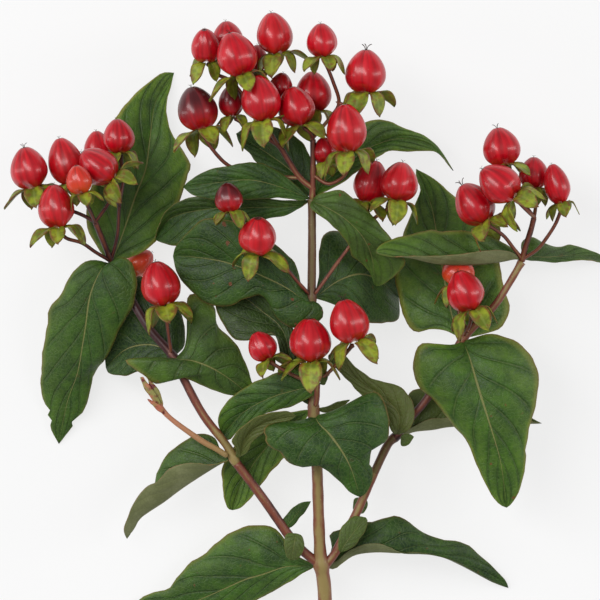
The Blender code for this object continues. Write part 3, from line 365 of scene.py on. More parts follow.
# Stalks: routes with their radius, each ending at a drawing point or at a berry, and the berries joined
STALKS = {
    "stalks_left": ([
        (PEDUNCLE, [(110.3, 261, 20.3), (103, 242, 25), (95, 222, 29.5)]),
        (PEDICEL, [(95, 222, 30), (80, 214, 30), (60, 207, 29), (42, 200, 31), "berry_left_1"]),
        (PEDICEL, [(95, 222, 30), (86, 203, 33), (76, 192, 30.5), "berry_left_2"]),
        (PEDICEL, [(95, 222, 30), (89, 209, 36.5), "left_small"]),
        (PEDICEL, [(95, 222, 30), (108, 204, 33), (115, 190, 35.5), "berry_left_4"]),
        (PEDICEL, [(110.3, 261, 20.3), (95, 252, 26), (82, 243, 32), (66, 238, 38.5), "berry_left_5"]),
        (PEDICEL, [(110.3, 261, 20.3), (117, 235, 25), (119, 205, 27.5), (123, 178, 27), "berry_left_3"]),
        (PEDICEL, [(119, 205, 27.5), (110, 190, 24.5), (101, 175, 22), "left_back"]),
    ], ["left_small", "left_back"]),
    "stalks_top": ([
        (PEDUNCLE, [(312.3, 197, 38.1), (313, 175, 39.5), (313, 150, 41), (313, 138, 42)]),
        (PEDICEL, [(313, 138, 42), (309, 132, 45), "berry_top_8"]),
        (PEDICEL, [(313, 138, 42), (316, 124, 36.5), "top_middle"]),
        (PEDICEL, [(313, 138, 42), (330, 118, 39), (339, 103, 40), (333, 82, 43), "berry_top_4"]),
        (PEDICEL, [(339, 103, 40), (355, 108, 41), "berry_top_5"]),
        (PEDICEL, [(313, 175, 39.5), (328, 184, 41), (342, 178, 44), (348, 168, 47.5), "berry_top_9"]),
        (PEDICEL, [(313, 150, 41), (322, 168, 39), "top_hidden_right"]),
        (PEDUNCLE, [(312.6, 188, 38.6), (300, 178, 38.6), (288, 160, 39.5), (278, 145, 41),
                    (262, 136, 41.5)]),
        (PEDICEL, [(278, 145, 41), (270, 132, 46), "berry_top_7"]),
        (PEDICEL, [(262, 136, 41.5), (245, 125, 41), "top_dark"]),
        (PEDICEL, [(262, 136, 41.5), (250, 105, 40.5), (247, 88, 44), "berry_top_2"]),
        (PEDICEL, [(250, 105, 40.5), (232, 82, 38), (216, 74, 38), "berry_top_1"]),
        (PEDICEL, [(232, 82, 38), (232, 68, 36.5), "top_back"]),
        (PEDICEL, [(262, 136, 41.5), (273, 110, 39), (281, 102, 38), "top_hidden_middle"]),
        (PEDICEL, [(250, 105, 40.5), (257, 80, 35.5), "top_hidden_left"]),
        (PEDICEL, [(257, 80, 35.5), (268, 72, 38), (276, 64, 41), "berry_top_3"]),
        (PEDICEL, [(300, 178, 38.6), (270, 176, 36.5), (240, 170, 35.5), (225, 163, 37), (210, 146, 40.5),
                   "berry_top_6"]),
    ], ["top_middle", "top_dark", "top_back", "top_hidden_left", "top_hidden_middle", "top_hidden_right"]),
    "stalks_right": ([
        (PEDUNCLE, [(522.7, 259, 24.8), (526, 246, 28), (531, 230, 33), (534, 217, 37)]),
        (PEDICEL, [(534, 217, 37), (536, 203, 32.5), "right_dark"]),
        (PEDICEL, [(534, 217, 37), (528, 212, 41.5), "berry_right_2"]),
        (PEDICEL, [(534, 217, 37), (521, 200, 33.5), (508, 180, 33.5), "berry_right_1"]),
        (PEDICEL, [(522.7, 259, 24.8), (537, 250, 28), (546, 239, 31), (556, 223, 34), "berry_right_4"]),
        (PEDICEL, [(522.7, 259, 24.8), (513, 247, 28.5), (503, 235, 32), "berry_right_3"]),
    ], ["right_dark"]),
    "stalks_low": ([
        (PEDUNCLE, [(316, 404, 35.6), (317, 395, 37.5), (317, 381, 40)]),
        (PEDICEL, [(317, 381, 40), (315, 370, 42.5), "low_front"]),
        (PEDICEL, [(317, 381, 40), (300, 378, 41), (284, 370, 42), (272, 363, 42.5), "berry_low_1"]),
        (PEDICEL, [(317, 381, 40), (328, 373, 42), (342, 358, 45), "berry_low_3"]),
    ], ["low_front"]),
    "stalks_mid_left": ([
        (PEDICEL, [(307, 292, 38), (297, 281, 41), (284, 266, 44), (268, 252, 46), "mid_front"]),
        (PEDICEL, [(284, 266, 44), (262, 240, 41), (243, 224, 44), (235, 216, 48), "mid_small"]),
    ], ["mid_front", "mid_small"]),
    "stalks_mid_right": ([
        (PEDICEL, [(317, 291, 37.3), (330, 273, 36.5), (347, 250, 35), (370, 222, 34), (386, 210, 36),
                   "mid_dark_right"]),
        (PEDICEL, [(370, 222, 34), (368, 212, 33.5), "mid_dark"]),
    ], ["mid_dark", "mid_dark_right"]),
    "berry_left_axil": ([
        (PEDICEL, [(170.5, 350, 27.9), (168, 332, 31.5), "left_axil_front"]),
    ], ["left_axil_front"]),
    "branch_left_high": ([
        (BRANCH, [(234.8, 461.4, 25.9), (226, 445, 26.2), (203, 415, 26.4), (184, 380, 26.2), (173, 357, 26),
                  (150, 330, 24.6), (133, 303, 22.4), (112, 265, 20.1)]),
        (PEDICEL, [(115, 271, 20.3), (120, 272, 15.5), "left_axil_back"]),
    ], ["left_axil_back"]),
    "berries_right_axil": ([
        (PEDICEL, [(465, 334, 28.7), (470, 324, 32.5), "right_axil_front"]),
        (PEDICEL, [(467, 330, 30.2), (459, 312, 27), "right_axil_back"]),
    ], ["right_axil_front", "right_axil_back"]),
}

# What the eye sees on each leaf: (paleness of its first half, paleness of its second half,
# yellow-green, darkness, which is painted shade on leaves that lie in shade, red-brown spots), each from 0,
# none, to 1, full, or more
LEAF_TONES = {
    "leaf_left_top_upper": (0.0, 0.0, 1.3, 0.0, 0.2),
    "leaf_left_top_lower": (0.05, 0.0, 0.55, 0.2, 0.1),
    "leaf_left_mid_right": (0.1, 0.1, 0.7, 0.1, 0.3),
    "leaf_left_mid_left": (0.0, 0.0, 0.1, 0.75, 0.0),
    "leaf_left_low_left": (1.0, 0.1, 0.2, 0.0, 0.1),
    "leaf_left_low_right": (0.8, 0.8, 0.1, 0.3, 0.1),
    "leaf_main_mid_olive": (0.1, 0.1, 1.5, 0.0, 0.2),
    "leaf_main_mid_upper": (0.0, 0.0, 0.6, 0.15, 0.1),
    "leaf_main_mid_front": (0.0, 0.0, 0.1, 0.35, 0.1),
    "leaf_main_mid_right": (0.6, 0.6, 0.4, 0.2, 0.0),
    "leaf_right_low_left": (0.75, 0.7, 0.2, 0.5, 0.1),
    "leaf_right_low_right": (0.0, 0.5, 0.3, 0.35, 0.1),
    "leaf_right_mid_lower": (0.0, 0.0, 0.95, 0.05, 0.5),
    "leaf_right_mid_upper": (0.0, 0.0, 1.2, 0.0, 0.1),
    "leaf_right_top_left": (0.75, 0.1, 0.8, 0.05, 0.2),
    "leaf_right_top_right": (0.1, 0.1, 0.5, 0.2, 0.1),
    "leaf_main_top_back_right": (0.0, 0.0, 1.0, 0.0, 0.1),
    "leaf_main_top_back_left": (0.0, 0.0, 0.2, 0.55, 0.1),
    "leaf_main_top_right": (0.2, 0.2, 0.45, 0.0, 0.6),
    "leaf_main_top_left": (0.0, 0.0, 0.2, 0.45, 0.1),
    "leaf_main_top_low_left": (0.1, 0.0, 0.25, 0.3, 0.1),
    "leaf_main_high_left": (0.0, 0.0, 0.2, 0.5, 0.7),
    "leaf_main_high_low_left": (0.1, 0.1, 0.2, 0.9, 0.1),
    "leaf_main_high_right": (0.0, 0.0, 0.25, 0.55, 0.3),
    "leaf_main_low_left": (0.0, 0.0, 0.6, 0.1, 0.5),
    "leaf_main_low_right": (0.5, 0.0, 0.25, 0.6, 0.2),
}

# Small leaves at the forks, with no solid of their own: midrib and margins as for a leaf, and tones
SMALL_LEAVES = {
    "bract_left_fork": (
        [(283, 530, 22), (291, 522, 21.5), (300, 511, 20.5), (311, 502, 20)],
        [(282, 523, 0), (290, 511, 0), (301, 503, 0)], [(290, 528, 0), (299, 519, 0), (307, 509, 0)],
        (0.0, 0.0, 0.4, 0.4, 0.2)),
    "bract_left_flap": (
        [(296, 534, 24), (294, 546, 25), (291, 561, 24)],
        [(286, 534, 0), (284, 545, 0), (286, 556, 0)], [(303, 537, 0), (304, 548, 0), (299, 558, 0)],
        (0.5, 0.5, 0.4, 0.2, 0.3)),
    "bract_right_fork": (
        [(340, 553, 24), (350, 538, 25), (366, 518, 24)],
        [(338, 545, 0), (342, 528, 0), (354, 517, 0)], [(350, 550, 0), (361, 538, 0), (368, 524, 0)],
        (0.4, 0.4, 0.4, 0.3, 0.3)),
    "bract_right_back": (
        [(357, 514, 17), (360, 507, 16), (365, 498, 15)],
        [(353, 509, 0), (355, 500, 0)], [(364, 514, 0), (368, 504, 0)],
        (0.3, 0.3, 0.5, 0.3, 0.1)),
    "bract_right_low": (
        [(401, 441, 27), (407, 440, 27.5), (414, 437, 27)],
        [(402, 435, 0), (409, 434, 0)], [(402, 446, 0), (409, 444, 0)],
        (0.4, 0.4, 0.5, 0.1, 0.4)),
    "bract_shoot_left": (
        [(159, 406, 31), (149, 392, 31.5), (140, 377, 31)],
        [(154, 403, 0), (145, 389, 0)], [(160, 402, 0), (151, 387, 0)],
        (0.0, 0.0, 0.4, 0.1, 1.0)),
    "bract_shoot_right": (
        [(162, 408, 30), (155, 397, 30.5), (148, 378, 30)],
        [(157, 403, 0), (150, 389, 0)], [(163, 402, 0), (158, 389, 0)],
        (0.0, 0.0, 0.4, 0.1, 1.0)),
    "bract_shoot_front": (
        [(164, 414, 31), (156, 407, 32), (147, 399, 32)],
        [(158, 411, 0), (151, 404, 0)], [(163, 408, 0), (154, 401, 0)],
        (0.0, 0.0, 0.4, 0.1, 1.0)),
    "bract_low_left": (
        [(314, 384, 41), (307, 379, 41.5), (300, 375, 41)],
        [(312, 379, 0), (305, 375, 0)], [(310, 386, 0), (303, 382, 0)],
        (0.4, 0.4, 0.5, 0.1, 0.9)),
    "bract_low_right": (
        [(320, 384, 41), (324, 379, 41.5), (327, 373, 41)],
        [(321, 378, 0), (324, 373, 0)], [(325, 385, 0), (328, 379, 0)],
        (0.4, 0.4, 0.5, 0.1, 0.9)),
}

# Bark along each stem, base and tip: 0 is olive, 0.5 red-brown, 1 dark maroon, under 0 a young shoot's salmon
BARK_TONES = {
    "main_stem": (0.22, 0.36),
    "branch_left_low": (0.66, 0.6),
    "branch_left_high": (0.05, 1.7),
    "branch_right_low": (0.45, 0.38),
    "branch_right_high": (0.85, 0.4),
    "side_shoot": (-0.15, -0.6),
    "stalks_left": (0.95, 0.7),
    "stalks_top": (0.5, 0.75),
    "stalks_right": (0.6, 0.7),
    "stalks_low": (0.5, 0.6),
    "stalks_mid_left": (0.7, 0.8),
    "stalks_mid_right": (0.6, 0.55),
    "berry_left_axil": (0.7, 0.8),
    "berries_right_axil": (0.7, 0.8),
}

# Skin tone of the berries that are not plain red: 1 is orange-red, -1 is nearly black
BERRY_TONES = {
    "left_small": 0.45, "left_axil_back": 0.6, "right_axil_back": 0.5, "berry_top_6": -0.9,
    "top_dark": -0.75, "mid_dark": -0.28, "right_dark": -0.2, "berry_left_4": -0.1, "berry_right_3": -0.1,
    "mid_small": -0.85, "top_back": -0.2, "top_hidden_left": -0.4, "top_hidden_middle": -0.3,
    "top_hidden_right": -0.3,
}

# Size of the dried styles against STYLE_CURL, where they stand out
STYLE_SIZES = {
    "berry_top_5": 0.8, "berry_right_1": 0.6, "berry_right_3": 0.8, "berry_left_1": 0.6, "berry_low_3": 0.7,
    "berry_top_2": 0.5,
}

# Bites in leaf margins: half of the leaf (0 first, 1 second), place along it, depth in millimetres
BITES = {
    "leaf_left_top_lower": ((0, 0.84, 1.6), (0, 0.89, 1.8), (1, 0.88, 1.8)),
    "leaf_main_mid_front": ((0, 0.34, 0.8), (0, 0.46, 1.0), (0, 0.60, 0.7), (1, 0.80, 0.8)),
    "leaf_left_mid_right": ((0, 0.90, 0.8), (1, 0.40, 0.6)),
    "leaf_right_mid_lower": ((1, 0.72, 0.5),),
}

# Leaf blades: depths in millimetres, noise in cells a metre, reaches as powers of the place across a half,
# which is 0 at the midrib and 1 at the margin
LEAF_COLUMNS = 24
LEAF_ROWS = 44
BRACT_COLUMNS = 8
BRACT_ROWS = 14
BRACT_RELIEF = 0.4  # a bract's relief against a leaf's
BRACT_SEED = 40  # the bracts' first noise seed, past the leaves'
BLADE = 0.32  # thickness
BLADE_START = 0.6  # how far from the stem's middle a blade starts, in stem radii
VEIN_PAIRS = 6.0
VEIN_RISE = 0.42  # how far towards the tip a side vein has climbed at the margin, in leaf lengths
VEIN_BEND = 0.75  # under 1, a side vein climbs fastest beside the midrib
# Where a side vein, the groove it lies in and the skin near it fade out, in spacings between side veins
VEIN_EDGE = (0.006, 0.040)
GROOVE_EDGE = (0.02, 0.10)
NEAR_EDGE = (0.05, 0.32)
VEIN_END = (0.70, 0.98)  # where side veins fade out across a half
MIDRIB = 0.036  # half width of the midrib at the base, in widths of a half
MIDRIB_TAPER = -0.026  # its change to the tip
MIDRIB_EDGE = (0.45, 1.0)
NET_EDGE = (0.02, 0.16)
ARCH = 0.10  # rise of each half's arch, in widths of the half
PILLOW_FULLNESS = 0.6  # under 1, the pillows between side veins are broad on top
PILLOW_LEVEL = 0.6  # height on a pillow, from 0 to 1, that stays level with the blade
QUILT_DEPTH = 0.42
SWAY_CELLS = 60
SWAY_DEPTH = 1.1
WRINKLE_CELLS = 260
WRINKLE_DEPTH = 0.22
NIBBLE_CELLS = 300
NIBBLE_DEPTH = 0.5
NIBBLE_REACH = 8
BITE_REACH = 5
BITE_WIDTH = 0.017  # in leaf lengths
PALE_FROM = 0.46  # place across the whole blade where one half's paleness starts to give way
PALE_BLEND = 0.08

# Stems and stalks
TUBE_SIDES = 16
TUBE_ROW = 1.1 * MM  # distance between rings
TUBE_ROWS = 6  # fewest rings
TUBE_END = 0.02  # share of the rings that close each end
TURN_STEP = 0.02  # share of the length over which a tube's direction is read
LUMPS = 0.06  # unevenness of the radius
LUMP_CELLS = 350
KNUCKLE = 0.24  # how much a stem swells at a leaf node
KNUCKLE_REACH = 2.0 * MM
FOOT_SWELL = 0.7  # how much a pedicel swells under its berry
FOOT_REACH = 0.06  # share of the length over which it swells
SHOOT_SLIMNESS = 0.85  # the side shoot's radius against its solid's
ROOT_DEPTH = 1.3 * MM
ROOT_SLIMNESS = 0.9

# Drawing points inside the main stem where its low branches start
BRANCH_ROOTS = {"branch_left_low": (320, 565, 20.0), "branch_right_low": (325, 566, 20.0)}

# A berry of unit width and length
BERRY_SEGMENTS = 36
BERRY_RINGS = 26
LOBES = 3
LOBE_SWELL = 0.034
LOBE_LEVEL = 1.5  # share of the length at which the lobes would be flat, past the tip
RIBS = 9
RIB_SWELL = 0.006
GROOVE_SPREAD = 0.012  # square of the angle over which a groove between lobes fades, in radians
GROOVE_BASE = 0.02  # depth of a groove at the base of the berry
GROOVE_TIP = 0.06  # how much deeper it is at the tip
SHOULDER = 1.13  # width just above the base
NARROWING = (0.27, 0.14)  # how the width falls towards the tip: evenly, and late
DIMPLE_DEPTHS = (0.045, 0.03)  # tip, base
DIMPLE_WIDTHS = (0.05, 0.10)
LOBE_LIFT = 0.045  # how far the base rises between lobes
LOBE_LIFT_TOP = 0.35  # share of the length where that ends

# Sepals and styles, in sepal lengths and berry widths
SEPALS = 5
SEPAL_DROOPS = (125.0, 150.0, 136.0, 168.0, 158.0)  # angle between berry axis and sepal tip
SEPAL_LEAVES_AT = 80.0  # angle between berry axis and sepal at its root
SEPAL_CURL = 2.2  # above 1, the sepal has reached its droop before its tip
SEPAL_STEPS = 24
SEPAL_COLUMNS = 8
SEPAL_ROWS = 12
SEPAL_WIDTH = 0.98
SEPAL_CUP = 0.07  # rise of its edges
SEPAL_CREASE = 0.03  # depth of the crease along its middle
SEPAL_WAVE = 0.03
SEPAL_THICKNESS = 0.035
SEPAL_REACH = 0.84  # length in berry widths
SEPAL_SPREAD = 0.10  # how much that varies
SEPAL_STRAY = 0.25  # how far a sepal strays from its even place round the berry, in radians
SEPAL_ROOT = 0.16  # distance of its root from the berry's axis
SEPAL_LEVEL = -0.475  # place of its root along the berry, in berry lengths
SEPAL_TURN = 40  # degrees from one berry's sepals to the next's
BERRY_TURN = 0.7  # a berry's turn against its sepals'
STYLES = 3
STYLE_SIDES = 6
STYLE_ROWS = 8
STYLE_RADIUS = 0.013
STYLE_END = 0.01  # share of the rings that close each end
STYLE_STEP = 0.05  # share of the length over which a style's direction is read
STYLE_SIDEWAYS = (0.3, 0.2, 1.0)  # a direction that no style follows
STYLE_SIZE = 0.35  # size of a style that isn't in STYLE_SIZES
STYLE_LEVEL = 0.49  # place of its root along the berry, in berry lengths
STYLE_START = 0.5  # bearing of the first style in radians
# A style's route from its root, in berry widths: out, aside, up
STYLE_CURL = ((0.02, 0.0, -0.04), (0.05, 0.0, 0.07), (0.11, 0.02, 0.14), (0.19, 0.06, 0.17))

# Patterns of the skins in cells a metre, and how wide one cell is
SPECKS = 1300.0  # 0.8 mm
THREADS = 1500.0  # 0.7 mm
PINPOINTS = 900.0  # 1.1 mm
NET = 770.0  # 1.3 mm, coarser than the real finest veins so that it shows
FINE = 700.0  # 1.4 mm
FRECKLES = 480.0  # 2.1 mm
MOTTLE = 420.0  # 2.4 mm
RIM_PATCHES = 400.0  # 2.5 mm
BORDER_PATCHES = 380.0  # 2.6 mm
SEPAL_PATCHES = 300.0  # 3.3 mm
RUST = 260.0  # 3.8 mm
FLUSH = 240.0  # 4.2 mm
CLOUDS = 150.0  # 6.7 mm
BLOTCHES = 140.0  # 7.1 mm
BARK_CLOUDS = 130.0  # 7.7 mm
FLOOR_CLOUDS = 3.0  # 330 mm
SOFT = 0.55  # how much of its finer layers a pattern shows

# Stage, in metres and watts
FLOOR_SIZE = 6.0
FLOOR_DROP = 0.4 * MM  # keeps the floor clear of the lowest leaves
FLOOR_GLOW = 0.735
SKY_STRENGTH = 0.34
CAMERA_REACH = 50.0
# Soft boxes: place from the middle of the picture, size and power
SOFT_BOXES = {
    "soft_box_left": ((-0.75, 0.45, 1.2), (0.45, 1.5), 15.0),
    "soft_box_right": ((1.1, 0.2, 0.7), (0.3, 1.5), 7.0),
    "soft_box_rim": ((-1.2, 0.0, 0.25), (0.2, 1.2), 3.0),
}

MERGE = 1e-7  # points closer than this are one
NARROW = 1e-6  # half of a blade narrower than this has no margin to nibble
NO_LENGTH = 1e-12
UPRIGHT = 1e-3  # a stem that leans less than this is taken to lean along +X
CURVE_STEPS = 10  # how finely a curve is followed between two of its points


def point(across, down, height):
    """A drawing point as a place in metres."""
    return Vector(((across - ORIGIN_ACROSS) * UNIT * MM, (ORIGIN_DOWN - down) * UNIT * MM, height * MM))


def linear(text):
    """An sRGB hex colour as linear RGBA."""
    parts = [int(text[i:i + 2], 16) / 255 for i in (1, 3, 5)]
    return (*(c / 12.92 if c <= 0.04045 else ((c + 0.055) / 1.055) ** 2.4 for c in parts), 1.0)


def held(value):
    """The value held between 0 and 1."""
    return min(max(value, 0.0), 1.0)


def lengths_along(points):
    """The length of a line up to each of its points."""
    lengths = [0.0]
    for a, b in zip(points, points[1:]):
        lengths.append(lengths[-1] + (b - a).length)
    return lengths


def smooth_curve(points, count):
    """A smooth curve through the points, read at equal steps of its length."""
    fine = []
    for i in range(len(points) - 1):
        before = points[max(i - 1, 0)]
        start = points[i]
        end = points[i + 1]
        after = points[min(i + 2, len(points) - 1)]
        for step in range(CURVE_STEPS):
            t = step / CURVE_STEPS
            fine.append(0.5 * (
                2 * start + (end - before) * t + (2 * before - 5 * start + 4 * end - after) * t * t
                + (3 * start - 3 * end + after - before) * t * t * t
            ))
    fine.append(points[-1].copy())
    lengths = lengths_along(fine)
    result = []
    k = 0
    for i in range(count):
        target = lengths[-1] * i / (count - 1)
        while k < len(fine) - 2 and lengths[k + 1] < target:
            k += 1
        span = max(lengths[k + 1] - lengths[k], NO_LENGTH)
        result.append(fine[k].lerp(fine[k + 1], held((target - lengths[k]) / span)))
    return result


def along(values, share):
    """The value at this share of a list's length."""
    place = held(share) * (len(values) - 1)
    k = min(int(place), len(values) - 2)
    return values[k].lerp(values[k + 1], place - k)


def shaped_grid(name, columns, rows, place):
    """A grid primitive moved point by point: place(u, v) gives each point and its mark."""
    bpy.ops.object.select_all(action="DESELECT")
    bpy.ops.mesh.primitive_grid_add(x_subdivisions=columns, y_subdivisions=rows, size=1.0)
    piece = bpy.context.active_object
    piece.name = name
    piece.data.name = name
    marks = piece.data.attributes.new("mark", "FLOAT_VECTOR", "POINT")
    for vert in piece.data.vertices:
        spot, mark = place(vert.co.x + 0.5, vert.co.y + 0.5)
        vert.co = spot
        marks.data[vert.index].vector = mark
    bpy.ops.object.mode_set(mode="EDIT")
    bpy.ops.mesh.select_all(action="SELECT")
    bpy.ops.mesh.remove_doubles(threshold=MERGE)
    bpy.ops.object.mode_set(mode="OBJECT")
    bpy.ops.object.shade_smooth()
    return piece


def turn_outward(piece):
    """Makes the faces of a closed piece point outwards."""
    bpy.ops.object.select_all(action="DESELECT")
    bpy.context.view_layer.objects.active = piece
    piece.select_set(True)
    bpy.ops.object.mode_set(mode="EDIT")
    bpy.ops.mesh.select_all(action="SELECT")
    bpy.ops.mesh.normals_make_consistent(inside=False)
    bpy.ops.object.mode_set(mode="OBJECT")


def thicken(piece, thickness, **settings):
    """Gives a sheet its thickness, half to each side."""
    shell = piece.modifiers.new("thickness", "SOLIDIFY")
    shell.thickness = thickness
    shell.offset = 0.0
    for key, value in settings.items():
        setattr(shell, key, value)
    bpy.ops.object.modifier_apply(modifier=shell.name)


def joined(name, pieces):
    """Several mesh objects as one."""
    bpy.ops.object.select_all(action="DESELECT")
    for piece in pieces:
        piece.select_set(True)
    bpy.context.view_layer.objects.active = pieces[0]
    if len(pieces) > 1:
        bpy.ops.object.join()
    pieces[0].name = name
    pieces[0].data.name = name
    return pieces[0]


def blade_place(middle, first, second, base, tip, rows, relief, tones, seed, bites=()):
    """Where each point of a leaf blade goes, and its mark: paleness, yellow, darkness as painted shade."""
    midrib = smooth_curve([base] + [point(*p) for p in middle], rows)
    margins = []
    for side in (first, second):
        outline = [base]
        for i, (across, down, lift) in enumerate(side):
            level = along(midrib, (i + 1) / (len(side) + 1)).z
            spot = point(across, down, lift)
            spot.z += level
            outline.append(spot)
        outline.append(tip)
        margins.append(smooth_curve(outline, rows))
    shift = Vector((seed * 3.7, seed * 1.9, seed * 5.3))  # gives each blade its own noise

    def place(u, v):
        s = abs(u - 0.5) * 2
        side = 0 if u < 0.5 else 1
        middle_spot = along(midrib, v)
        edge_spot = along(margins[side], v)
        half = (edge_spot - middle_spot).length
        spot = middle_spot.lerp(edge_spot, s)
        ends = math.sin(math.pi * held(v)) ** 0.5
        arch = ARCH * half * 4 * s * (1 - s) * ends
        phase = VEIN_PAIRS * (v - VEIN_RISE * s ** VEIN_BEND)
        pillow = math.sin(math.pi * (phase % 1.0)) ** PILLOW_FULLNESS
        inside = min(1.0, 4 * s) * min(1.0, 3.5 * (1 - s))  # 0 at the midrib and the margin, 1 between them
        quilt = (pillow - PILLOW_LEVEL) * QUILT_DEPTH * MM * inside * ends
        sway = noise.noise(spot * SWAY_CELLS + shift) * SWAY_DEPTH * MM * s * s * ends
        wrinkle = noise.noise(spot * WRINKLE_CELLS + shift) * WRINKLE_DEPTH * MM * ends
        nibble = noise.noise(spot * NIBBLE_CELLS - shift) * NIBBLE_DEPTH * MM * s ** NIBBLE_REACH * ends
        nibble += sum(depth * MM * math.exp(-((v - at) / BITE_WIDTH) ** 2) * s ** BITE_REACH
                      for half_of, at, depth in bites if half_of == side)
        if half > NARROW:
            spot = spot + (middle_spot - edge_spot).normalized() * nibble
        spot.z += relief * (arch + quilt + sway + wrinkle)
        blend = held((u - PALE_FROM) / PALE_BLEND)
        pale = tones[0] * (1 - blend) + tones[1] * blend
        return spot, (pale, tones[2], tones[3])

    return place


def leaf_blade(name, place, columns, rows, thickness, spots, materials):
    """A thin leaf with an upper skin, an under skin and a rim."""
    piece = shaped_grid(name, columns, rows, place)
    mesh = piece.data
    if sum(face.normal.z * face.area for face in mesh.polygons) < 0:
        mesh.flip_normals()
    for material in materials:
        mesh.materials.append(material)
    thicken(piece, thickness, material_offset=1, material_offset_rim=2)
    spotted = mesh.attributes.new("spots", "FLOAT", "POINT")
    spotted.data.foreach_set("value", [spots] * len(mesh.vertices))
    return piece


def tube(name, route, sides, tone_base, tone_tip, swell=0.0):
    """A tapering round stem along a smooth route of (place, radius) pairs, closed at its ends."""
    centres = [centre for centre, _ in route]
    radii = [Vector((radius, 0, 0)) for _, radius in route]
    spans = lengths_along(centres)
    rows = max(TUBE_ROWS, int(spans[-1] / TUBE_ROW))
    line = smooth_curve(centres, rows + 1)
    knots = [point(*knot[:3]) for knot in NODES.values()]

    def radius_at(v):
        target = spans[-1] * v
        k = max(j for j in range(len(spans) - 1) if spans[j] <= target + NO_LENGTH)
        return radii[k].lerp(radii[k + 1], min((target - spans[k]) / (spans[k + 1] - spans[k]), 1.0)).x

    def place(u, v):
        angle = 2 * math.pi * u
        inner = held((v - TUBE_END) / (1 - 2 * TUBE_END))
        centre = along(line, inner)
        ahead = (along(line, inner + TURN_STEP) - along(line, inner - TURN_STEP)).normalized()
        side = ahead.cross(Vector((0, 0, 1)))
        side = side.normalized() if side.length > UPRIGHT else Vector((1, 0, 0))
        up = side.cross(ahead)
        closed = v < TUBE_END / 4 or v > 1 - TUBE_END / 4
        knuckle = max(math.exp(-((centre - knot).length / KNUCKLE_REACH) ** 2) for knot in knots)
        foot = math.exp(-((1 - inner) / FOOT_REACH) ** 2)
        uneven = LUMPS * noise.noise(centre * LUMP_CELLS)
        radius = 0.0 if closed else radius_at(inner) * (1 + uneven + KNUCKLE * knuckle + swell * foot)
        spot = centre + (side * math.cos(angle) + up * math.sin(angle)) * radius
        tone = tone_base + (tone_tip - tone_base) * inner
        return spot, (math.cos(angle), tone, inner)

    piece = shaped_grid(name, sides, rows, place)
    turn_outward(piece)
    return piece


def rooted(route):
    """The route begun a little earlier, so that it starts inside what carries it."""
    (start, radius), (after, _) = route[:2]
    return [(start - (after - start).normalized() * ROOT_DEPTH, radius * ROOT_SLIMNESS)] + route


def route_points(plan, radius):
    """A route's drawing points as (place, radius) pairs in metres."""
    return [(point(*p[:3]), (p[3] if len(p) > 3 else radius) * MM) for p in plan]


def berry_axis(plan):
    """The direction from a berry's base to its tip."""
    lean = math.radians(plan[5])
    tilt = math.radians(plan[6])
    return Vector((math.sin(lean) * math.cos(tilt), math.cos(lean) * math.cos(tilt), math.sin(tilt)))


def berry_foot(plan, clearance):
    """The drawing point at a berry's base, this many millimetres below it."""
    across, down, height, _, length, _, _ = plan
    away = berry_axis(plan) * (length / 2 + clearance)
    return (across - away.x / UNIT, down + away.y / UNIT, height - away.z)


def model_berry(skin):
    """A berry of unit width and length, its tip along +Z: three lobes, a notched tip, a tapered base."""
    bpy.ops.object.select_all(action="DESELECT")
    bpy.ops.mesh.primitive_uv_sphere_add(segments=BERRY_SEGMENTS, ring_count=BERRY_RINGS, radius=0.5)
    piece = bpy.context.active_object
    marks = piece.data.attributes.new("mark", "FLOAT_VECTOR", "POINT")
    turn = 2 * math.pi
    grooves = [turn * (i + 0.5) / LOBES for i in range(LOBES)]
    for vert in piece.data.vertices:
        z = vert.co.z
        share = z + 0.5
        angle = math.atan2(vert.co.y, vert.co.x)
        ring = math.hypot(vert.co.x, vert.co.y)
        marks.data[vert.index].vector = (math.cos(angle), math.sin(angle), z)
        lobe = 1 + LOBE_SWELL * math.cos(LOBES * angle) * (LOBE_LEVEL - share)
        lobe += RIB_SWELL * math.cos(RIBS * angle + 1.0)
        aways = [(angle - at + math.pi) % turn - math.pi for at in grooves]
        groove = sum(math.exp(-away ** 2 / GROOVE_SPREAD) for away in aways)
        lobe -= (GROOVE_BASE + GROOVE_TIP * share ** 2) * groove
        width = lobe * (SHOULDER - NARROWING[0] * share - NARROWING[1] * share ** 4)
        vert.co.x *= width
        vert.co.y *= width
        end = 0 if z > 0 else 1
        dimple = DIMPLE_DEPTHS[end] * math.exp(-(ring / DIMPLE_WIDTHS[end]) ** 2)
        vert.co.z += -dimple if z > 0 else dimple
        if share < LOBE_LIFT_TOP:
            lift = LOBE_LIFT * (1 - math.cos(LOBES * angle)) * min(1.0, ring * 4)
            vert.co.z += lift * (LOBE_LIFT_TOP - share) * 3
    bpy.ops.object.shade_smooth()
    piece.data.materials.append(skin)
    return piece


def model_sepal(droop, material):
    """A pointed sepal of unit length. It leaves its root along +X and curves to droop degrees from +Z."""
    path = [Vector((0, 0, 0))]
    for i in range(SEPAL_STEPS):
        curl = min(1.0, (i / SEPAL_STEPS) * SEPAL_CURL)
        angle = math.radians(SEPAL_LEAVES_AT + (droop - SEPAL_LEAVES_AT) * curl)
        path.append(path[-1] + Vector((math.sin(angle), 0, math.cos(angle))) / SEPAL_STEPS)

    def place(u, v):
        s = (u - 0.5) * 2
        width = SEPAL_WIDTH * (0.06 + v) ** 0.55 * (1.0 - v ** 2.4) ** 0.85
        spot = along(path, v)
        spot = spot + Vector((0, s * width * 0.5, 0))
        spot.z += SEPAL_CUP * s * s * math.sin(math.pi * v) - SEPAL_CREASE * math.exp(-(s / 0.2) ** 2)
        spot.z += SEPAL_WAVE * math.sin(7 * v + 2 * s) * abs(s)
        return spot, (abs(s), v, 0.0)

    piece = shaped_grid("sepal", SEPAL_COLUMNS, SEPAL_ROWS, place)
    thicken(piece, SEPAL_THICKNESS)
    piece.data.materials.append(material)
    return piece


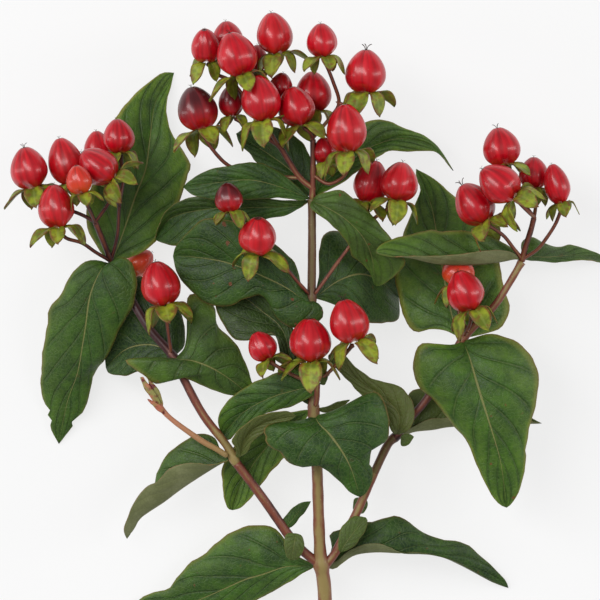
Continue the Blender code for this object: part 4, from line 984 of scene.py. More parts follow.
def model_styles(material):
    """Three thin curled styles on a berry of unit width, above its tip at the origin."""
    pieces = []
    for i in range(STYLES):
        turn = 2 * math.pi * i / STYLES + STYLE_START
        out = Vector((math.cos(turn), math.sin(turn), 0))
        aside = Vector((-out.y, out.x, 0))
        curl = [out * x + aside * y + Vector((0, 0, z)) for x, y, z in STYLE_CURL]
        line = smooth_curve(curl, STYLE_ROWS + 1)

        def place(u, v, line=line):
            angle = 2 * math.pi * u
            radius = 0.0 if v < STYLE_END or v > 1 - STYLE_END else STYLE_RADIUS
            centre = along(line, v)
            ahead = (along(line, v + STYLE_STEP) - along(line, v - STYLE_STEP)).normalized()
            side = ahead.cross(Vector(STYLE_SIDEWAYS)).normalized()
            up = side.cross(ahead)
            return centre + (side * math.cos(angle) + up * math.sin(angle)) * radius, (0.0, v, 0.0)

        pieces.append(shaped_grid(f"style_{i}", STYLE_SIDES, STYLE_ROWS, place))
        turn_outward(pieces[-1])
    whole = joined("styles", pieces)
    whole.data.materials.append(material)
    return whole


def copy_of(model, name, matrix):
    """A copy of a model with its own mesh, moved by the matrix."""
    piece = bpy.data.objects.new(name, model.data.copy())
    bpy.context.scene.collection.objects.link(piece)
    piece.data.transform(matrix)
    return piece


def berry(name, plan, order, models):
    """A berry with five sepals round its base and three styles at its tip. The sines scatter its sepals."""
    across, down, height, width, length, _, _ = plan
    width *= MM
    length *= MM
    fruit = f"fruit_{name}"
    turn = berry_axis(plan).to_track_quat("Z", "Y").to_matrix().to_4x4()
    stand = Matrix.Translation(point(across, down, height)) @ turn
    roll = math.radians(SEPAL_TURN * order)
    size = Matrix.Diagonal((width, width, length, 1.0))
    pieces = [copy_of(models["berry"], fruit, stand @ Matrix.Rotation(roll * BERRY_TURN, 4, "Z") @ size)]
    root = Matrix.Translation((SEPAL_ROOT * width, 0, SEPAL_LEVEL * length))
    for i in range(SEPALS):
        model = models["sepals"][(i * 2 + order) % len(models["sepals"])]
        angle = roll + 2 * math.pi * i / SEPALS + SEPAL_STRAY * math.sin(order * 2.3 + i * 1.7)
        reach = width * (SEPAL_REACH + SEPAL_SPREAD * math.sin(order * 1.3 + i * 2.9))
        place = stand @ Matrix.Rotation(angle, 4, "Z") @ root @ Matrix.Scale(reach, 4)
        pieces.append(copy_of(model, f"{fruit}_sepal_{i}", place))
    tip = Matrix.Translation((0, 0, STYLE_LEVEL * length))
    reach = width * STYLE_SIZES.get(name, STYLE_SIZE)
    place = stand @ Matrix.Rotation(roll, 4, "Z") @ tip @ Matrix.Scale(reach, 4)
    pieces.append(copy_of(models["styles"], f"{fruit}_styles", place))
    whole = joined(fruit, pieces)
    tone = BERRY_TONES.get(name, 0.12 * math.sin(order * 2.1))
    toned = whole.data.attributes.new("tone", "FLOAT", "POINT")
    toned.data.foreach_set("value", [tone] * len(whole.data.vertices))
    return whole


def settle(piece, node_name):
    """Puts a finished piece in the frame in place of its CAD node."""
    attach(piece, "root")
    if node_name:
        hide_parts(node_name)


def link(tree, source, socket):
    """Links a socket, or a node's first open output, to an input."""
    if isinstance(source, bpy.types.Node):
        source = next(output for output in source.outputs if output.enabled)
    tree.links.new(source, socket)


def node(tree, kind, *sources, **settings):
    """Adds a shader node with its settings. Its open inputs take numbers, hex colours or nodes, in order."""
    new = tree.nodes.new("ShaderNode" + kind)
    for key, value in settings.items():
        setattr(new, key, value)
    for socket, source in zip([socket for socket in new.inputs if socket.enabled], sources):
        if isinstance(source, (bpy.types.Node, bpy.types.NodeSocket)):
            link(tree, source, socket)
        elif isinstance(source, str):
            socket.default_value = linear(source)
        elif source is not None:
            socket.default_value = source
    return new


def painted(tree, colour, *coats):
    """A colour under coats. A coat is its colour, the value that says where it lies, the number at which it
    starts and the one at which it is full, and its strength."""
    for coat, where, start, full, strength in coats:
        share = node(tree, "MapRange", where, start, full, interpolation_type="SMOOTHSTEP")
        if strength != 1.0:
            share = node(tree, "Math", share, strength, operation="MULTIPLY")
        colour = node(tree, "Mix", share, colour, coat, data_type="RGBA")
    return colour


def glazed(tree, colour, *glazes):
    """A colour under glazes. A glaze is its colour, the value that says how much of it there is, and its
    strength."""
    for glaze, share, strength in glazes:
        if strength != 1.0:
            share = node(tree, "Math", share, strength, operation="MULTIPLY")
        colour = node(tree, "Mix", share, colour, glaze, data_type="RGBA")
    return colour


def new_surface(name, roughness, ior, coat=0.0, coat_roughness=0.1):
    """A Principled material with its even values set on the shader's own sockets."""
    material = bpy.data.materials.new(name)
    material.use_nodes = True
    tree = material.node_tree
    shader = tree.nodes["Principled BSDF"]
    for key, value in (("Roughness", roughness), ("IOR", ior), ("Coat Weight", coat),
                       ("Coat Roughness", coat_roughness)):
        shader.inputs[key].default_value = value
    return material, tree, shader


def fading(tree, source, full, gone):
    """1 where the source is under full, 0 where it is above gone."""
    share = node(tree, "MapRange", source, full, gone, interpolation_type="SMOOTHSTEP")
    return node(tree, "Math", 1.0, share, operation="SUBTRACT")


def mark_parts(tree):
    """The three numbers that every point of a piece carries."""
    mark = node(tree, "Attribute", attribute_name="mark").outputs["Vector"]
    return node(tree, "SeparateXYZ", mark).outputs


def raised(tree, shader, height, strength, depth):
    """Gives the surface relief of this depth in millimetres."""
    bump = node(tree, "Bump", strength, depth * MM, None, height)
    link(tree, bump, shader.inputs["Normal"])


def leaf_veins(tree):
    """The blade's plan from its UV map: place across its half, place along it, side veins, midrib, the
    grooves that side veins lie in, and nearness to one."""
    across, v = node(tree, "SeparateXYZ", node(tree, "TexCoord").outputs["UV"]).outputs[:2]
    off_middle = node(tree, "Math", across, 0.5, operation="SUBTRACT")
    s = node(tree, "Math", node(tree, "Math", off_middle, operation="ABSOLUTE"), 2.0, operation="MULTIPLY")
    bend = node(tree, "Math", s, VEIN_BEND, operation="POWER")
    climb = node(tree, "Math", bend, VEIN_RISE, operation="MULTIPLY")
    behind = node(tree, "Math", v, climb, operation="SUBTRACT")
    phase = node(tree, "Math", behind, VEIN_PAIRS, operation="MULTIPLY")
    off_vein = node(tree, "Math", phase, 0.5, operation="PINGPONG")
    inner = fading(tree, s, *VEIN_END)
    side = node(tree, "Math", fading(tree, off_vein, *VEIN_EDGE), inner, operation="MULTIPLY")
    groove = node(tree, "Math", fading(tree, off_vein, *GROOVE_EDGE), inner, operation="MULTIPLY")
    near = fading(tree, off_vein, *NEAR_EDGE)
    width = node(tree, "Math", v, MIDRIB_TAPER, MIDRIB, operation="MULTIPLY_ADD")
    middle = fading(tree, node(tree, "Math", s, width, operation="DIVIDE"), *MIDRIB_EDGE)
    return s, v, side, middle, groove, near


def leaf_net(tree, place):
    """The finest veins, drawn as cells."""
    cells = node(tree, "TexVoronoi", place, NET, feature="DISTANCE_TO_EDGE")
    return fading(tree, cells, *NET_EDGE)


def leaf_upper_skin(colours):
    """Waxy upper skin: dark green with a soft sheen, paler veins and yellow-green, rust-spotted margins."""
    material, tree, shader = new_surface("waxy_leaf_upper_skin", roughness=0.42, ior=1.36)
    s, v, side, middle, groove, near = leaf_veins(tree)
    pale, yellow, dark = mark_parts(tree)
    spots = node(tree, "Attribute", attribute_name="spots").outputs["Fac"]
    place = node(tree, "TexCoord").outputs["Object"]
    net = leaf_net(tree, place)
    fine = node(tree, "TexNoise", place, FINE, 3.0, SOFT)
    mottle = node(tree, "TexNoise", place, MOTTLE, 6.0, 0.7)
    cloud = node(tree, "TexNoise", place, CLOUDS, 5.0, SOFT)
    green = painted(tree, colours["deep"], (colours["green"], cloud, 0.34, 0.68, 1.0),
                    ("#46622A", fine, 0.35, 0.75, 0.35))

    # Yellowing between the side veins, strongest towards the margin and the tip
    margin = node(tree, "Math", s, 3.5, operation="POWER")
    tip = node(tree, "Math", v, 6.0, operation="POWER")
    edge = node(tree, "Math", margin, tip, operation="ADD")
    edge = node(tree, "Math", edge, 0.9, 0.35, operation="MULTIPLY_ADD")
    blotch = node(tree, "TexNoise", place, BLOTCHES, 2.0, SOFT)
    blotch = node(tree, "MapRange", blotch, 0.22, 0.80, interpolation_type="SMOOTHSTEP")
    blotch = node(tree, "Math", blotch, edge, operation="MULTIPLY")
    outer = node(tree, "MapRange", s, 0.1, 0.9, interpolation_type="SMOOTHSTEP")
    outer = node(tree, "Math", outer, 0.22, 0.06, operation="MULTIPLY_ADD")
    turned = node(tree, "Math", blotch, 0.65, outer, operation="MULTIPLY_ADD")
    between = node(tree, "Math", near, 0.7, operation="MULTIPLY")
    between = node(tree, "Math", 1.0, between, operation="SUBTRACT")
    turned = node(tree, "Math", turned, between, operation="MULTIPLY")
    turned = node(tree, "Math", turned, yellow, operation="MULTIPLY")
    turned = node(tree, "Math", turned, 0.8, operation="MINIMUM")
    green = glazed(tree, green, ("#66852A", turned, 1.0))
    green = painted(tree, green, ("#22401A", mottle, 0.40, 0.62, 0.35))

    # Dried hem, painted shade over leaves that lie in shade, painted shade in the grooves
    # that side veins lie in, and veins
    hem = node(tree, "MapRange", s, 0.86, 0.97, interpolation_type="SMOOTHSTEP")
    dryness = node(tree, "Math", yellow, 0.55, operation="MULTIPLY")
    hem = node(tree, "Math", hem, dryness, operation="MULTIPLY")
    green = glazed(tree, green, ("#8A8A3C", hem, 1.0), ("#0E1D10", dark, 0.75), ("#16290D", groove, 0.38),
                   (colours["under"], pale, 1.0), ("#56702C", net, 0.22), ("#7F8C50", side, 0.16),
                   ("#8F8A55", middle, 0.60))

    # Rust spots and the brown edge
    rust = node(tree, "TexNoise", place, RUST, 2.0, SOFT)
    rust = node(tree, "MapRange", rust, 0.70, 0.74, interpolation_type="SMOOTHSTEP")
    amount = node(tree, "Math", spots, 1.4, operation="MULTIPLY")
    rust = node(tree, "Math", rust, amount, operation="MULTIPLY")
    rust = node(tree, "Math", rust, 0.85, operation="MINIMUM")
    green = glazed(tree, green, ("#6E3B22", rust, 1.0))
    green = painted(tree, green, ("#8A6B3C", s, 0.965, 0.995, 0.6))
    link(tree, green, shader.inputs["Base Color"])
    rough = node(tree, "Math", fine, 0.18, 0.36, operation="MULTIPLY_ADD")
    link(tree, rough, shader.inputs["Roughness"])
    sunk = node(tree, "Math", net, -0.6, operation="MULTIPLY")
    height = node(tree, "Math", sunk, fine, operation="ADD")
    valley = node(tree, "Math", groove, middle, operation="MAXIMUM")
    valley = node(tree, "Math", valley, 2.2, operation="MULTIPLY")
    height = node(tree, "Math", height, valley, operation="SUBTRACT")
    raised(tree, shader, height, 0.6, 0.2)
    return material


def leaf_under_skin():
    """Matte under skin: paler olive with raised brown-green veins."""
    material, tree, shader = new_surface("matte_leaf_under_skin", roughness=0.62, ior=1.36)
    s, _, side, middle = leaf_veins(tree)[:4]
    dark = mark_parts(tree)[2]
    place = node(tree, "TexCoord").outputs["Object"]
    cloud = node(tree, "TexNoise", place, CLOUDS, 4.0, SOFT)
    green = painted(tree, "#6E734A", ("#80845C", cloud, 0.36, 0.68, 1.0))
    # Painted shade over leaves that lie in shade, then the veins
    green = glazed(tree, green, ("#2C3A22", dark, 0.45), ("#3E4C26", leaf_net(tree, place), 0.18),
                   ("#868C58", side, 0.5), ("#A09060", middle, 0.8))
    green = painted(tree, green, ("#7A5A3A", s, 0.955, 0.99, 0.6))
    link(tree, green, shader.inputs["Base Color"])
    raised(tree, shader, side, 0.3, 0.12)
    return material


def leaf_rim():
    """The blade's cut-thin margin: yellow-brown where the skin has dried."""
    material, tree, shader = new_surface("dried_leaf_margin", roughness=0.6, ior=1.42)
    place = node(tree, "TexCoord").outputs["Object"]
    patches = node(tree, "TexNoise", place, RIM_PATCHES, 3.0, SOFT)
    colour = painted(tree, "#5C6A35", ("#8B6A42", patches, 0.40, 0.62, 1.0))
    link(tree, colour, shader.inputs["Base Color"])
    return material


def berry_skin(colours):
    """Smooth waxed berry skin: deep red with a strong gloss, faint lengthwise streaks, orange at its base."""
    material, tree, shader = new_surface("glossy_berry_skin", roughness=0.36, ior=1.40, coat=0.40,
                                         coat_roughness=0.17)
    mark = node(tree, "Attribute", attribute_name="mark").outputs["Vector"]
    x, y, z = node(tree, "SeparateXYZ", mark).outputs
    tone = node(tree, "Attribute", attribute_name="tone").outputs["Fac"]
    place = node(tree, "TexCoord").outputs["Object"]
    lengthwise = node(tree, "Mapping", mark, None, None, (6.0, 6.0, 0.9))
    streak = node(tree, "TexNoise", lengthwise, 0.8, 3.0, 0.5)
    cloud = node(tree, "TexNoise", place, FLUSH, 4.0, SOFT)
    red = painted(tree, colours["berry_dark"], (colours["berry"], streak, 0.12, 0.78, 1.0),
                  ("#E41830", cloud, 0.40, 0.70, 0.25))

    # Orange-red of an unripe berry, strongest towards its base
    low = node(tree, "MapRange", z, -0.35, 0.25, interpolation_type="SMOOTHSTEP")
    low = node(tree, "Math", low, -0.6, 1.0, operation="MULTIPLY_ADD")
    low = node(tree, "Math", low, 0.9, operation="MULTIPLY")
    unripe = node(tree, "MapRange", tone, 0.0, 0.8, interpolation_type="SMOOTHSTEP")
    unripe = node(tree, "Math", unripe, low, operation="MULTIPLY")
    red = glazed(tree, red, ("#DE5A22", unripe, 1.0))

    # Near-black of an overripe berry, strongest towards its tip
    high = node(tree, "MapRange", z, -0.42, 0.25, interpolation_type="SMOOTHSTEP")
    high = node(tree, "Math", high, 0.72, 0.28, operation="MULTIPLY_ADD")
    overripe = node(tree, "Math", tone, -1.0, operation="MULTIPLY")
    overripe = node(tree, "Math", overripe, high, operation="MULTIPLY")
    red = painted(tree, red, ("#2C0810", overripe, 0.0, 1.0, 0.93))

    # Painted shade in the grooves between the lobes, and painted highlights along the ridges
    bearing = node(tree, "Math", y, x, operation="ARCTAN2")
    painted_groove_shade = node(tree, "Math", bearing, LOBES, operation="MULTIPLY")
    painted_groove_shade = node(tree, "Math", painted_groove_shade, operation="COSINE")
    painted_groove_shade = node(tree, "Math", painted_groove_shade, -1.0, operation="MULTIPLY")
    painted_groove_shade = node(tree, "MapRange", painted_groove_shade, 0.93, 1.0, interpolation_type="SMOOTHSTEP")
    upper = node(tree, "MapRange", z, -0.1, 0.4, interpolation_type="SMOOTHSTEP")
    painted_groove_shade = node(tree, "Math", painted_groove_shade, upper, operation="MULTIPLY")
    # Painted highlight: a pale streak along each ridge in the berry's middle band
    painted_ridge_highlight = node(tree, "Math", bearing, 7.0, 1.0, operation="MULTIPLY_ADD")
    painted_ridge_highlight = node(tree, "Math", painted_ridge_highlight, operation="COSINE")
    painted_ridge_highlight = node(tree, "Math", painted_ridge_highlight, streak, operation="ADD")
    painted_ridge_highlight = node(tree, "MapRange", painted_ridge_highlight, 0.9, 1.6, interpolation_type="SMOOTHSTEP")
    belt = fading(tree, node(tree, "Math", z, operation="ABSOLUTE"), 0.25, 0.46)
    painted_ridge_highlight = node(tree, "Math", painted_ridge_highlight, belt, operation="MULTIPLY")
    red = glazed(tree, red, ("#4A0710", painted_groove_shade, 0.45), ("#EE4850", painted_ridge_highlight, 0.10))

    # Orange base, dark tip and pale pinpoints
    wave = node(tree, "Math", streak, 0.10, -0.05, operation="MULTIPLY_ADD")
    base = fading(tree, node(tree, "Math", z, wave, operation="ADD"), -0.50, -0.455)
    small_wave = node(tree, "Math", wave, 0.3, operation="MULTIPLY")
    tip = node(tree, "Math", z, small_wave, operation="ADD")
    pinpoints = node(tree, "TexNoise", place, PINPOINTS, 2.0, SOFT)
    red = glazed(tree, red, ("#C98A34", base, 0.85))
    red = painted(tree, red, ("#2A0C0A", tip, 0.470, 0.490, 0.85), ("#E0655A", pinpoints, 0.70, 0.78, 0.3))
    link(tree, red, shader.inputs["Base Color"])
    raised(tree, shader, streak, 0.25, 0.2)
    return material


def sepal_skin(colours):
    """Thin leafy sepal: yellow-green with red-brown edges and specks."""
    material, tree, shader = new_surface("leafy_sepal_skin", roughness=0.5, ior=1.42)
    edge, v, _ = mark_parts(tree)
    place = node(tree, "TexCoord").outputs["Object"]
    cloud = node(tree, "TexNoise", place, SEPAL_PATCHES, 3.0, SOFT)
    patches = node(tree, "TexNoise", place, BORDER_PATCHES, 2.0, SOFT)
    freckles = node(tree, "TexNoise", place, FRECKLES, 4.0, SOFT)
    side = node(tree, "MapRange", edge, 0.62, 0.95, interpolation_type="SMOOTHSTEP")
    tip = node(tree, "MapRange", v, 0.80, 0.98, interpolation_type="SMOOTHSTEP")
    border = node(tree, "Math", side, tip, operation="MAXIMUM")
    patches = node(tree, "MapRange", patches, 0.36, 0.60, interpolation_type="SMOOTHSTEP")
    brown = node(tree, "Math", border, patches, operation="MULTIPLY")
    green = painted(tree, "#5E6C18", (colours["sepal"], cloud, 0.36, 0.66, 1.0))
    green = glazed(tree, green, ("#6E2F22", brown, 0.8))
    green = painted(tree, green, ("#74401E", freckles, 0.50, 0.66, 0.6))
    green = glazed(tree, green, ("#A9B46A", fading(tree, edge, 0.05, 0.2), 0.15))
    link(tree, green, shader.inputs["Base Color"])
    return material


def young_shoot_skin():
    """Narrow bracts of a young shoot: salmon to maroon, with an olive flush."""
    material, tree, shader = new_surface("young_shoot_skin", roughness=0.5, ior=1.42)
    place = node(tree, "TexCoord").outputs["Object"]
    flush = node(tree, "TexNoise", place, RUST, 3.0, SOFT)
    mottle = node(tree, "TexNoise", place, MOTTLE, 2.0, SOFT)
    colour = painted(tree, "#B0664E", ("#8A8648", flush, 0.36, 0.56, 1.0),
                     ("#6A1E22", mottle, 0.50, 0.66, 1.0))
    link(tree, colour, shader.inputs["Base Color"])
    return material


def dry_style():
    """Dried styles at the berry's tip: near-black brown threads."""
    material, tree, shader = new_surface("dry_style_thread", roughness=0.7, ior=1.45)
    place = node(tree, "TexCoord").outputs["Object"]
    threads = node(tree, "TexNoise", place, THREADS, 3.0, SOFT)
    colour = painted(tree, "#24120C", ("#4A2A1A", threads, 0.4, 0.6, 1.0))
    link(tree, colour, shader.inputs["Base Color"])
    return material


def young_bark(colours):
    """Smooth young bark: olive to red-brown to maroon along the stem, with streaks and pale specks."""
    material, tree, shader = new_surface("smooth_young_bark", roughness=0.48, ior=1.45, coat=0.08,
                                         coat_roughness=0.3)
    round_side, tone, height = mark_parts(tree)
    place = node(tree, "TexCoord").outputs["Object"]
    lengthwise = node(tree, "Mapping", place, None, None, (1.0, 0.12, 0.6))
    streak = node(tree, "TexNoise", lengthwise, PINPOINTS, 3.0, 0.5)
    cloud = node(tree, "TexNoise", place, BARK_CLOUDS, 3.0, SOFT)
    specks = node(tree, "TexNoise", place, SPECKS, 2.0, SOFT)

    # From olive at 0 to maroon at 1
    drift = node(tree, "Math", cloud, 0.7, -0.35, operation="MULTIPLY_ADD")
    shade = node(tree, "Math", tone, drift, operation="ADD")
    # Painted shade: a stem's flanks go darker towards maroon, its top and underside paler
    flank_shade = node(tree, "Math", round_side, operation="ABSOLUTE")
    flank_shade = node(tree, "Math", flank_shade, 0.45, -0.2, operation="MULTIPLY_ADD")
    shade = node(tree, "Math", shade, flank_shade, operation="ADD")
    lines = node(tree, "Math", streak, 0.3, -0.15, operation="MULTIPLY_ADD")
    shade = node(tree, "Math", shade, lines, operation="ADD")
    salmon = node(tree, "Math", tone, -1.0, operation="MULTIPLY")
    bark = painted(tree, colours["bark_olive"], (colours["bark_red"], shade, 0.15, 0.55, 1.0),
                   (colours["bark_maroon"], shade, 0.55, 1.0, 1.0), ("#B57458", salmon, 0.05, 0.5, 1.0))

    # Painted shade: darker far end, where the stem runs under the leaves,
    # only on stems whose tone is between 0.1 and 0.4
    painted_stem_shade = node(tree, "MapRange", height, 0.45, 0.85, interpolation_type="SMOOTHSTEP")
    below = node(tree, "Math", tone, 0.4, operation="LESS_THAN")
    painted_stem_shade = node(tree, "Math", painted_stem_shade, below, operation="MULTIPLY")
    above = node(tree, "Math", tone, 0.1, operation="GREATER_THAN")
    painted_stem_shade = node(tree, "Math", painted_stem_shade, above, operation="MULTIPLY")
    bark = glazed(tree, bark, ("#3E3218", painted_stem_shade, 0.6))
    bark = painted(tree, bark, ("#C2A882", specks, 0.66, 0.74, 0.35))
    link(tree, bark, shader.inputs["Base Color"])
    raised(tree, shader, streak, 0.3, 0.15)
    return material


def pale_floor():
    """Pale glowing studio board, so that shadows stay faint."""
    material, tree, shader = new_surface("lit_pale_board", roughness=0.9, ior=1.45)
    place = node(tree, "TexCoord").outputs["Object"]
    cloud = node(tree, "TexNoise", place, FLOOR_CLOUDS, 2.0, SOFT)
    colour = painted(tree, "#7A7A7A", ("#808080", cloud, 0.3, 0.7, 1.0))
    link(tree, colour, shader.inputs["Base Color"])
    shader.inputs["Emission Color"].default_value = linear("#FFFFFF")
    shader.inputs["Emission Strength"].default_value = FLOOR_GLOW
    return material


def hex_property(name, description, text):
    """A colour setting with an sRGB hex default."""
    return bpy.props.FloatVectorProperty(name=name, description=description, subtype="COLOR", size=4,
                                         min=0.0, max=1.0, default=linear(text))


class StemLeafSettings(bpy.types.PropertyGroup):
    """Sizes and colours of the leaves."""

    thickness: bpy.props.FloatProperty(
        name="Blade thickness", description="Thickness of a leaf blade", default=BLADE * MM,
        subtype="DISTANCE", unit="LENGTH")
    relief: bpy.props.FloatProperty(
        name="Relief", description="Strength of the blade's arch, pillows and waves", default=1.0,
        subtype="FACTOR")
    deep: hex_property("Deep green", "Darkest green of the upper skin", "#1B3A12")
    green: hex_property("Green", "Usual green of the upper skin", "#3A6216")
    under: hex_property("Pale parts", "Olive of the pale parts of the upper skin", "#5E6230")


class StemBerrySettings(bpy.types.PropertyGroup):
    """Colours of the berries and sepals."""

    berry: hex_property("Red", "Bright red of the berry skin", "#C60017")
    berry_dark: hex_property("Dark red", "Dark red of the berry skin", "#84000D")
    sepal: hex_property("Sepal green", "Yellow-green of the sepals", "#8E9A24")


class StemBarkSettings(bpy.types.PropertyGroup):
    """Colours and thickness of stems and stalks."""

    pedicel: bpy.props.FloatProperty(
        name="Pedicel radius", description="Radius of the thinnest stalks", default=PEDICEL * MM,
        subtype="DISTANCE", unit="LENGTH")
    bark_olive: hex_property("Olive bark", "Bark of the main stem", "#93804C")
    bark_red: hex_property("Red-brown bark", "Bark of the branches", "#7A3E2C")
    bark_maroon: hex_property("Maroon bark", "Bark of the thin stalks", "#351014")


def colours_of(context):
    """Every colour setting by its name, as linear RGBA."""
    leaves = context.scene.stem_leaves
    berries = context.scene.stem_berries
    bark = context.scene.stem_bark
    return {
        "deep": leaves.deep[:], "green": leaves.green[:], "under": leaves.under[:],
        "berry": berries.berry[:], "berry_dark": berries.berry_dark[:], "sepal": berries.sepal[:],
        "bark_olive": bark.bark_olive[:], "bark_red": bark.bark_red[:], "bark_maroon": bark.bark_maroon[:],
    }


def kept_material(name, make, *inputs):
    """The material of this name, made when it isn't there yet."""
    return bpy.data.materials.get(name) or make(*inputs)


def leaf_materials(context):
    """Upper skin, under skin and rim."""
    return (kept_material("waxy_leaf_upper_skin", leaf_upper_skin, colours_of(context)),
            kept_material("matte_leaf_under_skin", leaf_under_skin),
            kept_material("dried_leaf_margin", leaf_rim))


class STEM_OT_woody_stems(bpy.types.Operator):
    """Main stem, branches and side shoot"""

    bl_idname = "stem.woody_stems"
    bl_label = "Woody stems"

    def execute(self, context):
        bark = kept_material("smooth_young_bark", young_bark, colours_of(context))
        for name, plan in STEMS.items():
            route = route_points(plan, 0)
            if name in BRANCH_ROOTS:
                route = [(point(*BRANCH_ROOTS[name]), route[0][1])] + route
            elif name != "main_stem":
                route = rooted(route)
            if name == "side_shoot":
                route = [(centre, radius * SHOOT_SLIMNESS) for centre, radius in route]
            base, tip = BARK_TONES[name]
            piece = tube(f"bark_{name}", route, TUBE_SIDES, base, tip)
            piece.data.materials.append(bark)
            settle(piece, name)
        return {"FINISHED"}


class STEM_OT_stalks(bpy.types.Operator):
    """Pedicels and the stalks that carry them"""

    bl_idname = "stem.stalks"
    bl_label = "Stalks"

    def execute(self, context):
        bark = kept_material("smooth_young_bark", young_bark, colours_of(context))
        thin = context.scene.stem_bark.pedicel / MM / PEDICEL
        for name, (routes, _) in STALKS.items():
            base, tip = BARK_TONES[name]
            pieces = []
            for i, (radius, route) in enumerate(routes):
                spots = list(route)
                end = spots[-1]
                swell = 0.0
                if isinstance(end, str):
                    clearance = 0.0 if end in JOINED_BERRIES else BERRY_GAP
                    spots[-1] = berry_foot(BERRIES.get(end) or JOINED_BERRIES[end], clearance)
                    swell = FOOT_SWELL
                line = route_points(spots, radius * (thin if radius == PEDICEL else 1.0))
                pieces.append(tube(f"{name}_{i}", rooted(line), TUBE_SIDES, base, tip, swell))
            piece = joined(f"bark_{name}", pieces)
            piece.data.materials.append(bark)
            settle(piece, name)
        return {"FINISHED"}


class STEM_OT_leaves(bpy.types.Operator):
    """Leaf blades, each on its midrib and margins"""

    bl_idname = "stem.leaves"
    bl_label = "Leaves"

    def execute(self, context):
        settings = context.scene.stem_leaves
        materials = leaf_materials(context)
        for order, (name, (carrier, slot, middle, first, second)) in enumerate(LEAVES.items()):
            across, down, height, radius = NODES[carrier]
            centre = point(across, down, height)
            towards = (point(*middle[0]) - centre).normalized()
            base = centre + towards * radius * BLADE_START * MM
            tones = LEAF_TONES[name]
            place = blade_place(middle, first, second, base, point(*middle[-1]), LEAF_ROWS + 1,
                                settings.relief, tones, order + 1, BITES.get(name, ()))
            piece = leaf_blade(f"blade_{name}", place, LEAF_COLUMNS, LEAF_ROWS, settings.thickness, tones[4],
                               materials)
            settle(piece, name)
        return {"FINISHED"}


class STEM_OT_bracts(bpy.types.Operator):
    """Small leaves and bracts at the forks"""

    bl_idname = "stem.bracts"
    bl_label = "Bracts"

    def execute(self, context):
        settings = context.scene.stem_leaves
        materials = leaf_materials(context)
        shoot = kept_material("young_shoot_skin", young_shoot_skin)
        for order, (name, (middle, first, second, tones)) in enumerate(SMALL_LEAVES.items()):
            base = point(*middle[0])
            place = blade_place(middle[1:], first, second, base, point(*middle[-1]), BRACT_ROWS + 1,
                                BRACT_RELIEF * settings.relief, tones, order + BRACT_SEED)
            skins = [shoot] * 3 if name.startswith("bract_shoot") else materials
            piece = leaf_blade(name, place, BRACT_COLUMNS, BRACT_ROWS, settings.thickness, tones[4], skins)
            settle(piece, None)
        return {"FINISHED"}


class STEM_OT_berries(bpy.types.Operator):
    """Berries with their sepals and styles"""

    bl_idname = "stem.berries"
    bl_label = "Berries"

    def execute(self, context):
        colours = colours_of(context)
        skin = kept_material("glossy_berry_skin", berry_skin, colours)
        sepal = kept_material("leafy_sepal_skin", sepal_skin, colours)
        thread = kept_material("dry_style_thread", dry_style)
        models = {
            "berry": model_berry(skin),
            "sepals": [model_sepal(droop, sepal) for droop in SEPAL_DROOPS],
            "styles": model_styles(thread),
        }
        carriers = {other: name for name, (_, others) in STALKS.items() for other in others}
        for order, (name, plan) in enumerate({**BERRIES, **JOINED_BERRIES}.items()):
            settle(berry(name, plan, order, models), carriers.get(name, name))
        for model in (models["berry"], models["styles"], *models["sepals"]):
            bpy.data.objects.remove(model)
        return {"FINISHED"}


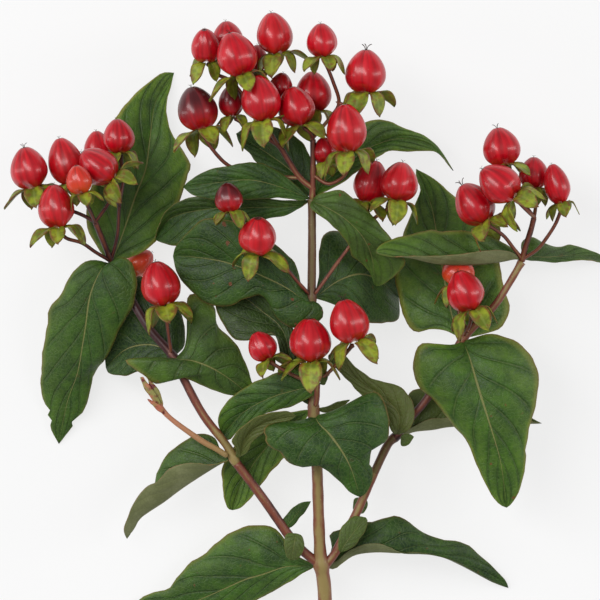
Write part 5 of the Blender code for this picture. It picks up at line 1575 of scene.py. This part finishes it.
class STEM_OT_stage(bpy.types.Operator):
    """Pale floor, soft light and the camera above the spray"""

    bl_idname = "stem.stage"
    bl_label = "Stage"

    def execute(self, context):
        bpy.ops.object.select_all(action="DESELECT")
        bpy.ops.mesh.primitive_plane_add(size=FLOOR_SIZE, location=(0, 0, 0))
        floor = context.active_object
        floor.name = "floor"
        floor.data.transform(Matrix.Translation((0, 0, -FLOOR_DROP)))
        floor.data.materials.append(pale_floor())
        world = bpy.data.worlds.new("studio")
        world.use_nodes = True
        sky = world.node_tree.nodes["Background"]
        sky.inputs["Color"].default_value = linear("#FFFFFF")
        sky.inputs["Strength"].default_value = SKY_STRENGTH
        context.scene.world = world
        middle = point(*FRAME_CENTRE, FRAME_LEVEL)
        for name, (offset, size, power) in SOFT_BOXES.items():
            bpy.ops.object.light_add(type="AREA", location=middle + Vector(offset))
            light = context.active_object
            light.name = name
            light.data.shape = "RECTANGLE"
            light.data.size = size[0]
            light.data.size_y = size[1]
            light.data.energy = power
            light.rotation_euler = (-Vector(offset)).to_track_quat("-Z", "Y").to_euler()
            light.visible_camera = False
        above = middle + Vector((0, 0, CAMERA_DISTANCE * MM))
        bpy.ops.object.camera_add(location=above, rotation=(0, 0, 0))
        camera = context.active_object
        camera.name = "camera_above"
        camera.data.sensor_width = SENSOR
        camera.data.lens = SENSOR * CAMERA_DISTANCE / FRAME_WIDTH
        camera.data.clip_end = CAMERA_REACH
        camera.data.dof.use_dof = False
        context.scene.camera = camera
        context.scene.view_settings.view_transform = "Standard"
        context.scene.view_settings.look = "None"
        return {"FINISHED"}


class STEM_PT_panel(bpy.types.Panel):
    """The stem's pieces and settings"""

    bl_idname = "STEM_PT_panel"
    bl_label = "Hypericum stem"
    bl_space_type = "VIEW_3D"
    bl_region_type = "UI"
    bl_category = "Stem"

    def draw(self, context):
        for group in SETTINGS:
            box = self.layout.box()
            for key in SETTINGS[group].__annotations__:
                box.prop(getattr(context.scene, group), key)
        for operator in OPERATORS:
            self.layout.operator(operator.bl_idname)


SETTINGS = {"stem_leaves": StemLeafSettings, "stem_berries": StemBerrySettings, "stem_bark": StemBarkSettings}
OPERATORS = (
    STEM_OT_woody_stems, STEM_OT_stalks, STEM_OT_leaves, STEM_OT_bracts, STEM_OT_berries, STEM_OT_stage,
)


def register():
    for kind in (*SETTINGS.values(), *OPERATORS, STEM_PT_panel):
        bpy.utils.register_class(kind)
    for name, kind in SETTINGS.items():
        setattr(bpy.types.Scene, name, bpy.props.PointerProperty(type=kind))


def unregister():
    for name in SETTINGS:
        delattr(bpy.types.Scene, name)
    for kind in reversed((*SETTINGS.values(), *OPERATORS, STEM_PT_panel)):
        bpy.utils.unregister_class(kind)


def main():
    """Builds every group of pieces and the stage."""
    register()
    bpy.ops.stem.woody_stems()
    bpy.ops.stem.stalks()
    bpy.ops.stem.leaves()
    bpy.ops.stem.bracts()
    bpy.ops.stem.berries()
    bpy.ops.stem.stage()


if __name__ == "__main__":
    main()
